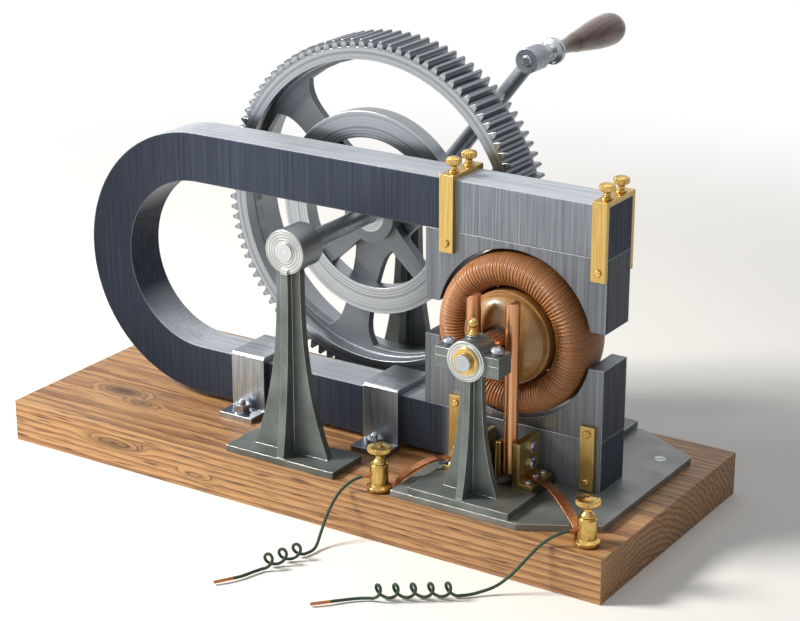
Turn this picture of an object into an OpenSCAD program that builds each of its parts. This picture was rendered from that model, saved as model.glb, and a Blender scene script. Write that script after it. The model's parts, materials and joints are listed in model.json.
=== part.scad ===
// Hand-cranked magneto-electric machine: a wound ring spins between the poles of a lying horseshoe magnet.
// Millimetres, +Z up, X along the base, +Y away from the viewer, origin under the middle of the base.

/* [Base] */
// Length of the wooden base board
base_length = 600; // [590:5:640]
// Depth of the base board, front to back
base_width = 246; // [246:2:270]
// Thickness of the base board
base_thickness = 38; // [34:1:46]
// Thickness of the bed plate, pillar feet, packing and pads
plate = 6; // [5:0.5:8]

/* [Magnet] */
// Depth of the magnet bar, front to back
magnet_depth = 40; // [36:1:42]
// Height of each magnet leg
magnet_leg = 44; // [40:1:48]
// Height over both magnet legs
magnet_height = 243; // [240:1:248]
// Distance from the left end of the base to where the bow starts to bend
bow_start = 140; // [135:1:152]
// Half the length of a pole shoe
shoe_half = 84; // [82:1:88]
// Free height between the two pole shoes
shoe_gap = 31; // [26:1:34]
// Thinnest iron left in a pole shoe over its bore
shoe_wall = 5.5; // [4:0.5:8]
// Thickness of the brass straps and tie plates
strap = 4; // [3:0.5:5]
// Width of the brass straps and tie plates
strap_width = 13; // [11:0.5:15]
// Width of each saddle over the lower leg
saddle_width = 35; // [30:1:40]

/* [Armature] */
// Distance of the armature axis from the right end of the base
armature_end = 137; // [134:1:140]
// Radius of the armature shaft
shaft_radius = 7; // [6:0.25:7.5]
// Place of the middle of the ring, front to back
ring_y = -12; // [-14:0.5:-10]
// Air gap between the winding and the pole shoes
air_gap = 2.5; // [2:0.1:4]
// Half the radial width of the ring core
core_radial = 10.75; // [10:0.25:11.5]
// Half the axial length of the ring core
core_axial = 24.5; // [22:0.5:26]
// Thickness of the winding on the core
winding_thick = 3.6; // [3:0.1:4]
// Turns of the outer layer of the winding
winding_turns = 24; // [16:1:24]
// Radius of the commutator
commutator_radius = 12; // [11.5:0.25:13]
// Bars of the commutator
commutator_bars_count = 24; // [16:2:32]

/* [Gearing] */
// Tooth module of gear and pinion
tooth_module = 3; // [2.95:0.05:3]
// Teeth of the drive gear
gear_teeth = 100; // [96:1:100]
// Teeth of the pinion
pinion_teeth = 24; // [23:1:26]
// Face width of gear and pinion
face_width = 46; // [40:1:46]
// Height of the gear axis above the armature axis
gear_rise = 58; // [56:0.5:60]
// Radius of the gear shaft
gear_shaft_radius = 8; // [7:0.5:9]

/* [Crank] */
// Radius from the gear shaft to the handle
crank_radius = 168; // [150:1:168]
// Angle of the crank above the horizontal at rest
crank_angle = 51.5; // [30:0.5:70]
// Largest radius of the wooden grip
grip_radius = 15; // [13:0.5:17]
// Length of the wooden grip
grip_length = 116; // [100:1:125]

/* [Brushes and terminals] */
// Radius of a brush rod
brush_radius = 6; // [5:0.25:6.5]
// Height of the brush rods
brush_length = 146; // [136:1:150]
// Width of the copper strips
strip_width = 8; // [6:0.5:8]
// Diameter of the two leads
lead_diameter = 2.6; // [2:0.1:2.8]

/* [Clearances] */
// Radial clearance of turning fits
running_fit = 0.05; // [0.02:0.01:0.1]
// Clearance of screws and bolts in their holes
screw_fit = 0.1; // [0.05:0.05:0.2]
// Gap between neighbours that must not touch
part_gap = 0.3; // [0.3:0.05:0.5]
// Play between meshing teeth
backlash = 0.3; // [0.2:0.05:0.5]

/* [Hidden] */
$fn = 64;

// Heights
z_base = base_thickness;
z_bed = z_base + plate;
z_foot = z_bed + plate;
z_top = z_bed + magnet_height;
bow_r = magnet_height / 2;
bow_in = bow_r - magnet_leg;
za = z_bed + bow_r;
z_leg = z_bed + magnet_leg;

// Plan places
xa = base_length / 2 - armature_end;
bow_x = bow_start - base_length / 2;
ym = -6;
yf = ym - magnet_depth / 2;
yk = ym + magnet_depth / 2;
xe = xa + shoe_half;
xl = xa - shoe_half;
strap_x = [xl + 15, xe - strap_width];
tie_x = [xl + 26, xe - 5 - strap_width];
saddle_x = [bow_x + 39, xa - 143];
saddle_foot = 20;
saddle_foot_z = 5;

// Bore of the pole shoes, and the ring that fits it
bore_r = bow_in - shoe_wall;
ring_mid = bore_r - air_gap - winding_thick - part_gap - core_radial;

// Gear train
gear_pitch = tooth_module * gear_teeth / 2;
pinion_pitch = tooth_module * pinion_teeth / 2;
centre_distance = gear_pitch + pinion_pitch;
xg = xa - sqrt(centre_distance * centre_distance - gear_rise * gear_rise);
zg = za + gear_rise;
mesh_angle = atan2(za - zg, xa - xg);
gear_tip = gear_pitch + tooth_module;
gear_y = 32;
gear_y2 = gear_y + face_width;
web_y = gear_y + 14;
web = 8;

// Gear and bearing pillars
pillar_front_y = -89;
pillar_rear_y = 94;
boss_front = [-8, 20];
boss_rear = [-13, 13];
boss_r = 19;
pillar_plate_x = 110;
bearing_front_y = -89;
bearing_rear_y = 92;
bearing_half = 12;
bearing_foot_x = 94;
bush_r = 11;
press_gap = 0.02;
ear_half = 29;
ear_low = 10;
ear_cap = 7;
cap_r = 17;
cap_screw_x = 22;

// Brush gear: right side, mirrored about the armature axis for the left
brush_y = -58.5;
brush_dx = commutator_radius + brush_radius + running_fit * 2;
brush_z = z_foot + 10;
bracket_in = brush_dx + brush_radius;
bracket_plate = 6;
bracket_foot = 17;
bracket_y1 = brush_y - brush_radius - 0.5;
bracket_y2 = bracket_y1 + 34;
bracket_screw_y = [for (d = [4.5, 17, 29.5]) bracket_y1 + d];
jaw_screw_y = brush_y + brush_radius + 8.5;
bracket_h = 38;
bracket_foot_z = 4;
strip_screw = [bracket_in + bracket_plate + 6, bracket_screw_y[1]];
jaw = 4;
strip_t = 1.5;

// Terminals
term_left = [xa - 78, -106];
term_right = [xa + 114, -104];
term_hole_z = z_base + 13;
term_flange_r = 10.5;
lead_hole_r = lead_diameter / 2 + 0.6;

// Crank
arm_y = 126;
eye_r = 11;
crank_x = xg + crank_radius * cos(crank_angle);
crank_z = zg + crank_radius * sin(crank_angle);
grip_y = arm_y + 40.4;

// Shared helpers: solids drawn along Y or X, and turned round the Y axis
module along_y(y0, h) { translate([0, y0 + h, 0]) rotate([90, 0, 0]) linear_extrude(h) children(); }
module along_x(x0, h) { translate([x0, 0, 0]) rotate([90, 0, 90]) linear_extrude(h) children(); }
module rod_y(x, z, y0, h, r) { translate([x, y0, z]) rotate([-90, 0, 0]) cylinder(h = h, r = r); }
module turn_y(x, z) { translate([x, 0, z]) rotate([-90, 0, 0]) rotate_extrude() children(); }
module box(x0, x1, y0, y1, z0, z1) { translate([x0, y0, z0]) cube([x1 - x0, y1 - y0, z1 - z0]); }
module mirror_x(x) { translate([x, 0, 0]) mirror([1, 0, 0]) translate([-x, 0, 0]) children(); }

// A slotted screw standing up at a place, head under top, shank below
module slot_screw(p, r, h, shank_r, depth) {
    translate(p) difference() {
        union() {
            cylinder(h = h * 0.6, r = r);
            translate([0, 0, h * 0.6]) cylinder(h = h * 0.4, r1 = r, r2 = r * 0.8);
            translate([0, 0, -depth]) cylinder(h = depth + 0.01, r = shank_r);
        }
        translate([-r - 1, -r * 0.13, h * 0.5]) cube([2 * r + 2, r * 0.26, h]);
    }
}

// A screw with a domed and slotted head, head up, shank below
module dome_screw(r, h, shank_r, depth) {
    difference() {
        union() {
            rotate_extrude() polygon(concat([[0, 0], [r * 0.86, 0]],
                [for (a = [-24:12:84]) [r * cos(a), h * 0.42 + h * 0.58 * sin(a)]], [[0, h]]));
            translate([0, 0, -depth]) cylinder(h = depth + 0.01, r = shank_r);
        }
        translate([-r - 1, -r * 0.13, h * 0.66]) cube([2 * r + 2, r * 0.26, h]);
    }
}

// Outline of a rib that flares towards its foot
function flare(z0, z1, wide, narrow) = [for (i = [0:10]) let(u = i / 10)
    [narrow + (wide - narrow) * pow(1 - u, 2.6), z0 + (z1 - z0) * u]];
module rib(z0, z1, wide, narrow) {
    a = flare(z0, z1, wide, narrow);
    polygon(concat(a, [for (i = [10:-1:0]) [-a[i][0], a[i][1]]]));
}

// Gear teeth with involute flanks, thinned by half the backlash
function inv(a) = tan(a) * 180 / PI - a;
function half_tooth(r, rp, n) = 90 / n - backlash * 45 / (PI * rp) + inv(20)
    - (r > rp * cos(20) ? inv(acos(rp * cos(20) / r)) : 0);
function toothed(n, phase) = let(rp = tooth_module * n / 2, r0 = rp - 1.25 * tooth_module,
    r1 = max(r0, rp * cos(20)), rs = [r0, (r1 + rp) / 2, rp, rp + tooth_module])
    [for (k = [0:n - 1]) let(c = phase + 360 * k / n) each concat(
        [for (r = rs) r * [cos(c - half_tooth(r, rp, n)), sin(c - half_tooth(r, rp, n))]],
        [for (i = [3:-1:0]) rs[i] * [cos(c + half_tooth(rs[i], rp, n)), sin(c + half_tooth(rs[i], rp, n))]])];

// Triangles of an open tube swept through rings of m points
function tube_faces(n, m) = concat(
    [for (i = [0:n - 2], j = [0:m - 1]) let(a = i * m + j, b = i * m + (j + 1) % m)
        each [[a, b, b + m], [a, b + m, a + m]]],
    [for (j = [1:m - 2]) [0, j + 1, j]],
    [for (j = [1:m - 2]) [(n - 1) * m, (n - 1) * m + j, (n - 1) * m + j + 1]]);

// Base and bed

bed_x0 = xa - 63;
bed_x1 = xa + 115;
bed_y = 113;
bed_cut = [60, 33];
bed_screws = [[xa + 94, 64], [xa + 94, -64], [xa - 54, 62], [xa - 54, -42]];
gear_bolt = [[xg - 40, pillar_front_y], [xg + 40, pillar_front_y], [xg - 40, pillar_rear_y],
    [xg + 40, pillar_rear_y]];
bearing_bolt = [[xa - 36, bearing_front_y], [xa + 36, bearing_front_y], [xa - 36, bearing_rear_y],
    [xa + 36, bearing_rear_y]];
saddle_bolt = [for (x = saddle_x, y = [yf - plate - 10, yk + plate + 10]) [x + saddle_width / 2, y]];

module base_board() {
    color("#8a5a33") difference() {
        box(-base_length / 2, base_length / 2, -base_width / 2, base_width / 2, 0, z_base);
        for (p = concat(gear_bolt, bearing_bolt)) translate([p[0], p[1], -1]) {
            cylinder(h = 9, r = 8);
            cylinder(h = z_base + 2, r = 3.5 + screw_fit);
        }
        for (p = saddle_bolt) translate([p[0], p[1], z_base - 24]) cylinder(h = 30, r = 3.4 + screw_fit);
        for (p = [term_left, term_right]) translate([p[0], p[1], z_base - 20])
            cylinder(h = 30, r = 2.5 + screw_fit);
        for (p = bed_screws) translate([p[0], p[1], z_base - 20]) cylinder(h = 30, r = 2.5 + screw_fit);
    }
}

module bed_plate() {
    color("#4a4f57") translate([0, 0, z_base]) difference() {
        linear_extrude(plate) polygon([[bed_x0, -bed_y], [bed_x1 - bed_cut[0], -bed_y],
            [bed_x1, -bed_y + bed_cut[1]], [bed_x1, bed_y - bed_cut[1]],
            [bed_x1 - bed_cut[0], bed_y], [bed_x0, bed_y]]);
        for (p = bearing_bolt) translate([p[0], p[1], -1]) cylinder(h = 20, r = 3.5 + screw_fit);
        for (p = bed_screws) translate([p[0], p[1], 0]) {
            translate([0, 0, -1]) cylinder(h = 20, r = 2.5 + screw_fit);
            translate([0, 0, plate - 3.1]) cylinder(h = 3.2, r1 = 2.6, r2 = 5.8);
        }
    }
}

module bed_plate_screws() {
    color("#b9b4a8") for (p = bed_screws) translate([p[0], p[1], z_bed]) difference() {
        union() {
            translate([0, 0, -3]) cylinder(h = 2.9, r1 = 2.5, r2 = 5.4);
            translate([0, 0, -plate - 18]) cylinder(h = plate + 15.5, r = 2.5);
        }
        rotate(30) translate([-8, -0.6, -1.3]) cube([16, 1.2, 3]);
    }
}

// Magnet, pole shoes and what holds them

module horseshoe_magnet() {
    color("#262b36") difference() {
        along_y(yf, magnet_depth) difference() {
            union() {
                translate([bow_x, za]) circle(r = bow_r, $fn = 128);
                translate([bow_x, z_bed]) square([xe - bow_x, magnet_height]);
            }
            translate([bow_x, za]) circle(r = bow_in, $fn = 128);
            translate([bow_x, za - bow_in]) square([xe - bow_x + 1, 2 * bow_in]);
        }
        for (x = strap_x, y = [ym - 12, ym + 12]) translate([x + strap_width / 2, y, z_top - 9])
            cylinder(h = 10, r = 2.5 + screw_fit);
        for (x = tie_x) rod_y(x + strap_width / 2, z_bed + 8, yf - 1, magnet_depth + 2, 1.7 + screw_fit);
    }
}

module upper_pole_shoe() {
    color("#30363f") difference() {
        box(xl, xe, yf, yk, za + shoe_gap / 2, z_top - magnet_leg);
        rod_y(xa, za, yf - 1, magnet_depth + 2, bore_r, $fn = 128);
        for (x = strap_x) rod_y(x + strap_width / 2, z_top - magnet_leg - 10, yf - 1, magnet_depth + 2,
            1.7 + screw_fit);
    }
}

module lower_pole_shoe() {
    color("#30363f") difference() {
        box(xl, xe, yf, yk, z_leg, za - shoe_gap / 2);
        rod_y(xa, za, yf - 1, magnet_depth + 2, bore_r, $fn = 128);
        for (x = tie_x) rod_y(x + strap_width / 2, z_leg + 7, yf - 1, magnet_depth + 2, 1.7 + screw_fit);
    }
}

module pole_strap(x) {
    color("#b8923f") difference() {
        along_x(x, strap_width) polygon([[yf - strap, z_top - magnet_leg - 18], [yf, z_top - magnet_leg - 18],
            [yf, z_top], [yk, z_top], [yk, z_top - magnet_leg - 18], [yk + strap, z_top - magnet_leg - 18],
            [yk + strap, z_top + strap], [yf - strap, z_top + strap]]);
        for (y = [ym - 12, ym + 12]) translate([x + strap_width / 2, y, z_top - 1])
            cylinder(h = strap + 2, r = 2.5 + screw_fit);
        rod_y(x + strap_width / 2, z_top - magnet_leg - 10, yf - 10, magnet_depth + 20, 1.7 + screw_fit);
    }
}
module pole_strap_left() { pole_strap(strap_x[0]); }
module pole_strap_right() { pole_strap(strap_x[1]); }

module strap_thumb_screws() {
    color("#c9a552") for (x = strap_x, y = [ym - 12, ym + 12])
        translate([x + strap_width / 2, y, z_top + strap]) rotate_extrude() polygon([[0, -strap - 7],
            [2.5, -strap - 7], [2.5, 0], [4.6, 0], [4.6, 1.4], [3, 2.6], [2.8, 5], [4, 6.4], [6.2, 7.2],
            [6.6, 8.4], [6.6, 10.6], [5.8, 11.8], [3.4, 12.8], [0, 13.2]]);
}

module strap_side_screws() {
    color("#c9a552") for (x = strap_x, s = [0, 1])
        translate([x + strap_width / 2, s == 0 ? yf - strap : yk + strap, z_top - magnet_leg - 10])
            rotate([s == 0 ? 90 : -90, 0, 0]) rotate(35) slot_screw([0, 0, 0], 3.2, 2, 1.7, strap + 8);
}

module tie_plates(x) {
    color("#b8923f") for (y = [yf - strap, yk]) difference() {
        box(x, x + strap_width, y, y + strap, z_bed + 1, z_leg + 13);
        for (z = [z_bed + 8, z_leg + 7]) rod_y(x + strap_width / 2, z, y - 1, strap + 2, 1.7 + screw_fit);
    }
}
module tie_plates_left() { tie_plates(tie_x[0]); }
module tie_plates_right() { tie_plates(tie_x[1]); }

module tie_plate_screws() {
    color("#c9a552") for (x = tie_x, z = [z_bed + 8, z_leg + 7], s = [0, 1])
        translate([x + strap_width / 2, s == 0 ? yf - strap : yk + strap, z])
            rotate([s == 0 ? 90 : -90, 0, 0]) rotate(20) slot_screw([0, 0, 0], 3.2, 2, 1.7, strap + 8);
}

module magnet_saddle(x) {
    y1 = yf - plate;
    y2 = yk + plate;
    f = saddle_foot;
    color("#7f8791") difference() {
        along_x(x, saddle_width) polygon([[y1 - f, z_base], [yf, z_base], [yf, z_leg], [yk, z_leg],
            [yk, z_base], [y2 + f, z_base], [y2 + f, z_base + saddle_foot_z], [y2, z_base + saddle_foot_z],
            [y2, z_leg + plate - 2], [y2 - 2, z_leg + plate], [y1 + 2, z_leg + plate],
            [y1, z_leg + plate - 2], [y1, z_base + saddle_foot_z], [y1 - f, z_base + saddle_foot_z]]);
        for (y = [y1 - 10, y2 + 10]) translate([x + saddle_width / 2, y, z_base - 1])
            cylinder(h = 20, r = 3.4 + screw_fit);
    }
}
module magnet_saddle_left() { magnet_saddle(saddle_x[0]); }
module magnet_saddle_right() { magnet_saddle(saddle_x[1]); }

module saddle_bolts() {
    color("#a9adb2") for (p = saddle_bolt) translate([p[0], p[1], z_base + saddle_foot_z]) {
        cylinder(h = 1.5, r = 8);
        rotate(15) translate([0, 0, 1.5]) cylinder(h = 6, r = 7.4, $fn = 6);
        translate([0, 0, -saddle_foot_z - 22]) cylinder(h = saddle_foot_z + 32, r = 3.4);
        translate([0, 0, 10]) cylinder(h = 1.6, r1 = 3.4, r2 = 2);
    }
}

module magnet_packing() {
    color("#6d4a2c") for (x = saddle_x) box(x, x + saddle_width, yf, yk, z_base, z_bed);
}

// Gear pillars, bearing pillars and their bearings

module gear_pillar(y, reach, boss) {
    color("#596069") difference() {
        union() {
            box(xg - pillar_plate_x / 2, xg + pillar_plate_x / 2, y - 22, y + 22, z_base, z_bed);
            along_y(y - 3.5, 7) translate([xg, 0]) rib(z_bed, zg - boss_r + 4, 38, 12);
            along_x(xg - 3.5, 7) translate([y, 0]) rib(z_bed, zg - boss_r + 4, reach, 9.5);
            rod_y(xg, zg, y + boss[0], boss[1] - boss[0], boss_r);
        }
        rod_y(xg, zg, y + boss[0] - 1, boss[1] - boss[0] + 2, gear_shaft_radius + running_fit);
        for (x = [xg - 40, xg + 40]) translate([x, y, z_base - 1]) cylinder(h = plate, r = 3.5 + screw_fit);
    }
}
module gear_pillar_front() { gear_pillar(pillar_front_y, 20, boss_front); }
module gear_pillar_rear() { gear_pillar(pillar_rear_y, 17, boss_rear); }

module pillar_bolts() {
    color("#8d9299") for (i = [0:7]) {
        p = i < 4 ? gear_bolt[i] : bearing_bolt[i - 4];
        top = i < 4 ? z_bed - 1.5 : z_foot - 1.5;
        translate([p[0], p[1], 2]) cylinder(h = 6, r = 7, $fn = 6);
        translate([p[0], p[1], 7]) cylinder(h = top - 7, r = 3.5);
    }
}

module bearing_pillar(y) {
    color("#596069") difference() {
        union() {
            box(xa - bearing_foot_x / 2, xa + bearing_foot_x / 2, y - 23, y + 23, z_bed, z_foot);
            along_y(y - 3, 6) translate([xa, 0]) rib(z_foot, za - 8, 25, 10);
            along_x(xa - 3, 6) translate([y, 0]) rib(z_foot, za - 8, 20, 9.5);
            rod_y(xa, za, y - bearing_half, 2 * bearing_half, cap_r);
            box(xa - ear_half, xa + ear_half, y - bearing_half + 2, y + bearing_half - 2, za - ear_low, za);
        }
        box(xa - 60, xa + 60, y - 40, y + 40, za, za + 60);
        rod_y(xa, za, y - bearing_half - 1, 2 * bearing_half + 2, bush_r + press_gap);
        for (s = [-1, 1]) {
            translate([xa + s * cap_screw_x, y, za - 12]) cylinder(h = 20, r = 2.5 + screw_fit);
            translate([xa + s * 36, y, z_bed - 1]) cylinder(h = plate, r = 3.5 + screw_fit);
        }
    }
}
module bearing_pillar_front() { bearing_pillar(bearing_front_y); }
module bearing_pillar_rear() { bearing_pillar(bearing_rear_y); }

module bearing_cap(y) {
    color("#676e78") difference() {
        union() {
            rod_y(xa, za, y - bearing_half, 2 * bearing_half, cap_r);
            box(xa - ear_half, xa + ear_half, y - bearing_half + 2, y + bearing_half - 2, za, za + ear_cap);
            translate([xa, y, za]) cylinder(h = cap_r + 2.5, r = 5.5);
        }
        box(xa - 60, xa + 60, y - 40, y + 40, za - 60, za);
        rod_y(xa, za, y - bearing_half - 1, 2 * bearing_half + 2, bush_r + press_gap);
        for (s = [-1, 1]) translate([xa + s * cap_screw_x, y, za - 1]) cylinder(h = 20, r = 2.5 + screw_fit);
        translate([xa, y, za + bush_r]) cylinder(h = 20, r = 2.2 + press_gap);
    }
}
module bearing_cap_front() { bearing_cap(bearing_front_y); }
module bearing_cap_rear() { bearing_cap(bearing_rear_y); }

module bearing_bush(y) {
    color("#c9a552") difference() {
        rod_y(xa, za, y - bearing_half - 1, 2 * bearing_half + 2, bush_r);
        rod_y(xa, za, y - bearing_half - 2, 2 * bearing_half + 4, shaft_radius + running_fit);
        translate([xa, y, za]) cylinder(h = 20, r = 1.2);
    }
}
module bearing_bush_front() { bearing_bush(bearing_front_y); }
module bearing_bush_rear() { bearing_bush(bearing_rear_y); }

module bearing_cap_screws() {
    color("#c9ced4") for (y = [bearing_front_y, bearing_rear_y], s = [-1, 1])
        translate([xa + s * cap_screw_x, y, za + ear_cap]) rotate(s * 25)
            dome_screw(6, 6.5, 2.5, ear_cap + 9);
}

module oil_cups() {
    color("#c9a552") for (y = [bearing_front_y, bearing_rear_y]) translate([xa, y, za + cap_r + 2.5])
        rotate_extrude() polygon(concat([[0, -6], [2.2, -6], [2.2, 0], [4.4, 0], [4.4, 1.5], [2.6, 3.2],
            [2.2, 5.6], [3, 6.6]], [for (a = [-40:20:80]) [4.3 * cos(a), 9.6 + 4.3 * sin(a)]], [[0, 13.9]]));
}

// Brush gear, drawn on the right and mirrored to the left

module bracket() {
    x = xa + bracket_in;
    difference() {
        union() {
            box(x, x + bracket_plate, bracket_y1, bracket_y2, z_foot, z_foot + bracket_h);
            box(x, x + bracket_plate + bracket_foot - 5, bracket_y1, bracket_y2, z_foot,
                z_foot + bracket_foot_z);
        }
        for (y = bracket_screw_y) translate([xa + strip_screw[0], y, z_foot - 1])
            cylinder(h = 10, r = 1.7 + screw_fit);
        for (z = [15, 29]) translate([x - 1, jaw_screw_y, z_foot + z]) rotate([0, 90, 0])
            cylinder(h = 20, r = 2.2 + screw_fit);
    }
}
module brush_bracket_right() { color("#b8923f") bracket(); }
module brush_bracket_left() { color("#b8923f") mirror_x(xa) bracket(); }

module bracket_pad() {
    difference() {
        box(xa + 8, xa + bracket_in + bracket_plate + bracket_foot - 3, bracket_y1 - 0.5, bracket_y2 + 1,
            z_bed, z_foot);
        for (y = bracket_screw_y) translate([xa + strip_screw[0], y, z_bed + 1])
            cylinder(h = 10, r = 1.7 + screw_fit);
    }
}
module bracket_pads() { color("#1d1a19") { bracket_pad(); mirror_x(xa) bracket_pad(); } }

module brush_jaw() {
    x = xa + brush_dx - brush_radius - jaw;
    difference() {
        box(x, x + jaw, bracket_y1, bracket_y2 - 6, z_foot + 6, z_foot + bracket_h - 2);
        for (z = [15, 29]) translate([x - 1, jaw_screw_y, z_foot + z]) rotate([0, 90, 0])
            cylinder(h = 20, r = 2.2 + screw_fit);
    }
}
module brush_jaws() { color("#c9a552") { brush_jaw(); mirror_x(xa) brush_jaw(); } }

module brush() {
    translate([xa + brush_dx, brush_y, brush_z]) difference() {
        cylinder(h = brush_length, r = brush_radius);
        translate([0, 0, brush_length]) rotate([0, -35, 0]) translate([-20, -20, 0]) cube([40, 40, 30]);
    }
}
module brush_right() { color("#b5683a") brush(); }
module brush_left() { color("#b5683a") translate([-2 * brush_dx, 0, 0]) brush(); }

module foot_screws() {
    for (y = bracket_screw_y) translate([xa + strip_screw[0], y, z_foot + bracket_foot_z])
        translate([0, 0, y == strip_screw[1] ? strip_t : 0]) rotate(y * 20)
            slot_screw([0, 0, 0], 3.2, 2.4, 1.7, plate + 1);
}
module bracket_screws() { color("#c9ced4") { foot_screws(); mirror_x(xa) foot_screws(); } }

module jaw_screw_pair() {
    for (z = [15, 29]) translate([xa + bracket_in + bracket_plate, jaw_screw_y, z_foot + z])
        rotate([0, 90, 0]) rotate(z * 3)
            slot_screw([0, 0, 0], 5.4, 3.4, 2.2, bracket_plate + 2 * brush_radius + jaw);
}
module jaw_screws() { color("#c9ced4") { jaw_screw_pair(); mirror_x(xa) jaw_screw_pair(); } }

// Copper strips: flat on the bracket foot, over the edge of the bed and flat under the terminal
strip_z = z_foot + bracket_foot_z;
function strip_line(len, drop) = concat([[-5, strip_z], [6, strip_z]],
    [for (i = [1:14]) let(u = sin(i * 90 / 14)) [6 + (drop - 6) * u, z_base + 3 + (strip_z - z_base - 3)
        * sqrt(max(0, 1 - u * u)) + 7 * sin(180 * u) * (1 - u)]],
    [[drop + 0.3, z_base + 1.2], [drop + 1.4, z_base], [len + 6, z_base]]);
function line_dir(p, i) = let(a = p[max(i - 1, 0)], b = p[min(i + 1, len(p) - 1)]) (b - a) / norm(b - a);
module copper_strip(a, b, drop) {
    d = b - a;
    l = norm(d);
    p = strip_line(l, drop);
    n = len(p);
    color("#c0733d") translate([a[0], a[1], 0]) rotate(atan2(d[1], d[0])) difference() {
        along_y(-strip_width / 2, strip_width) polygon(concat(p, [for (i = [n - 1:-1:0])
            let(t = line_dir(p, i)) p[i] + strip_t * [-t[1], t[0]]]));
        translate([0, 0, strip_z - 5]) cylinder(h = 20, r = 1.7 + screw_fit);
        translate([l, 0, z_base - 5]) cylinder(h = 20, r = 2.5 + screw_fit);
    }
}
strip_from_right = [xa + strip_screw[0], strip_screw[1]];
strip_from_left = [xa - strip_screw[0], strip_screw[1]];
module copper_strip_right() {
    copper_strip(strip_from_right, term_right, norm(term_right - strip_from_right) - 15);
}
module copper_strip_left() {
    copper_strip(strip_from_left, term_left, norm(term_left - strip_from_left) - 17);
}

// Terminals
lead_turn_left = 217;
lead_turn_right = 221;
module terminal_post(p, turn) {
    color("#b8923f") translate([p[0], p[1], 0]) difference() {
        union() {
            translate([0, 0, z_base - 18]) cylinder(h = 30, r = 2.5);
            translate([0, 0, z_base + strip_t]) rotate_extrude() polygon([[0, 0], [term_flange_r, 0],
                [term_flange_r, 2.4], [9, 3.4], [7.8, 4.2], [7.8, 20.5], [6.8, 22.5], [0, 22.5]]);
        }
        translate([0, 0, term_hole_z]) cylinder(h = 30, r = 3 + running_fit);
        translate([0, 0, term_hole_z]) rotate(turn) rotate([0, 90, 0])
            translate([0, 0, -4]) cylinder(h = 20, r = lead_hole_r);
    }
}
module terminal_post_left() { terminal_post(term_left, lead_turn_left); }
module terminal_post_right() { terminal_post(term_right, lead_turn_right); }

module terminal_screw(p) {
    z0 = term_hole_z + lead_diameter / 2 + part_gap;
    zt = z_base + strip_t + 22.5 + part_gap;
    color("#c9a552") translate([p[0], p[1], 0]) rotate_extrude() polygon([[0, z0], [3, z0], [3, zt],
        [6, zt], [6, zt + 1.6], [3.6, zt + 4], [3.2, zt + 6.6], [5.5, zt + 9], [9.4, zt + 10.2],
        [10, zt + 11], [10, zt + 14], [9.2, zt + 14.8], [4, zt + 15.4], [3, zt + 16.4], [0, zt + 16.8]]);
}
module terminal_screw_left() { terminal_screw(term_left); }
module terminal_screw_right() { terminal_screw(term_right); }

// Leads: hand-chosen route points, then curls about a line lying on the table, then a bare tail
function cat(p, i, t) = let(a = p[max(i - 1, 0)], b = p[i], c = p[i + 1], d = p[min(i + 2, len(p) - 1)])
    0.5 * (2 * b + (c - a) * t + (2 * a - 5 * b + 4 * c - d) * t * t + (3 * b - a - 3 * c + d) * t * t * t);
function smooth(p, k) = concat([for (i = [0:len(p) - 2], j = [0:k - 1]) cat(p, i, j / k)], [p[len(p) - 1]]);
function curls(a, b, count, r, lean) = let(s = [cos(lean), sin(lean), 0], n = count * 12) [for (i = [0:n])
    let(t = i / n, w = 360 * count * t) a + (b - a) * t - r * sin(w) * s + r * (1 - cos(w)) * [0, 0, 1]];
function from_post(p, points) = [for (q = points) [p[0] + q[0], p[1] + q[1], q[2]]];
curl_r = 5.6;
route_left = from_post(term_left, [[0, 0, term_hole_z], [-8, -6, term_hole_z], [-17, -15, 47.5],
    [-24, -25, 38], [-27, -36, 24], [-27, -46, 11], [-25, -55, 4], [-24, -63, 2]]);
curl_left = from_post(term_left, [[-26, -72, 2], [-39, -112, 2]]);
tail_left = from_post(term_left, [[-42, -121, 2], [-45, -131, 2], [-50, -141, 2.4], [-57, -151, 2]]);
route_right = from_post(term_right, [[0, 0, term_hole_z], [-8, -7, term_hole_z], [-17, -15, 48.5],
    [-27, -23, 41], [-36, -30, 29], [-45, -38, 16], [-54, -46, 7], [-63, -55, 3], [-69, -62, 2]]);
curl_right = from_post(term_right, [[-76, -69, 2], [-131, -109, 2]]);
tail_right = from_post(term_right, [[-138, -114, 2], [-147, -123, 2], [-155, -133, 2.4], [-164, -142, 2]]);
line_left = concat(smooth(concat(route_left, [curl_left[0]]), 4),
    [for (i = [1:36]) curls(curl_left[0], curl_left[1], 3, curl_r, 33)[i]],
    [for (i = [1:16]) smooth(concat([curl_left[1]], tail_left), 4)[i]]);
line_right = concat(smooth(concat(route_right, [curl_right[0]]), 4),
    [for (i = [1:60]) curls(curl_right[0], curl_right[1], 5, curl_r, 0)[i]],
    [for (i = [1:16]) smooth(concat([curl_right[1]], tail_right), 4)[i]]);

function unit(v) = v / norm(v);
function heading(p, i) = unit(p[min(i + 1, len(p) - 1)] - p[max(i - 1, 0)]);
function square_to(n, t) = unit(n - (n * t) * t);
function carried(p) = [for (i = 0, n = square_to([0, 0, 1], heading(p, 0)); i < len(p);
    i = i + 1, n = i < len(p) ? square_to(n, heading(p, i)) : n) n];
function tube_points(p, r, m) = let(ns = carried(p)) [for (i = [0:len(p) - 1])
    let(t = heading(p, i), n = ns[i], b = cross(t, n))
    for (j = [0:m - 1]) p[i] + r * (cos(360 * j / m) * n + sin(360 * j / m) * b)];
function self_gap(p, skip) = min([for (i = [0:len(p) - 1 - skip], j = [i + skip:len(p) - 1])
    norm(p[i] - p[j])]);
module lead(p) {
    color("#a8653a") polyhedron(tube_points(p, lead_diameter / 2, 6), tube_faces(len(p), 6), convexity = 10);
}
module lead_left() {
    lead(line_left);
    echo(lead_left_gap = self_gap(line_left, 8) - lead_diameter);
}
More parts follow.
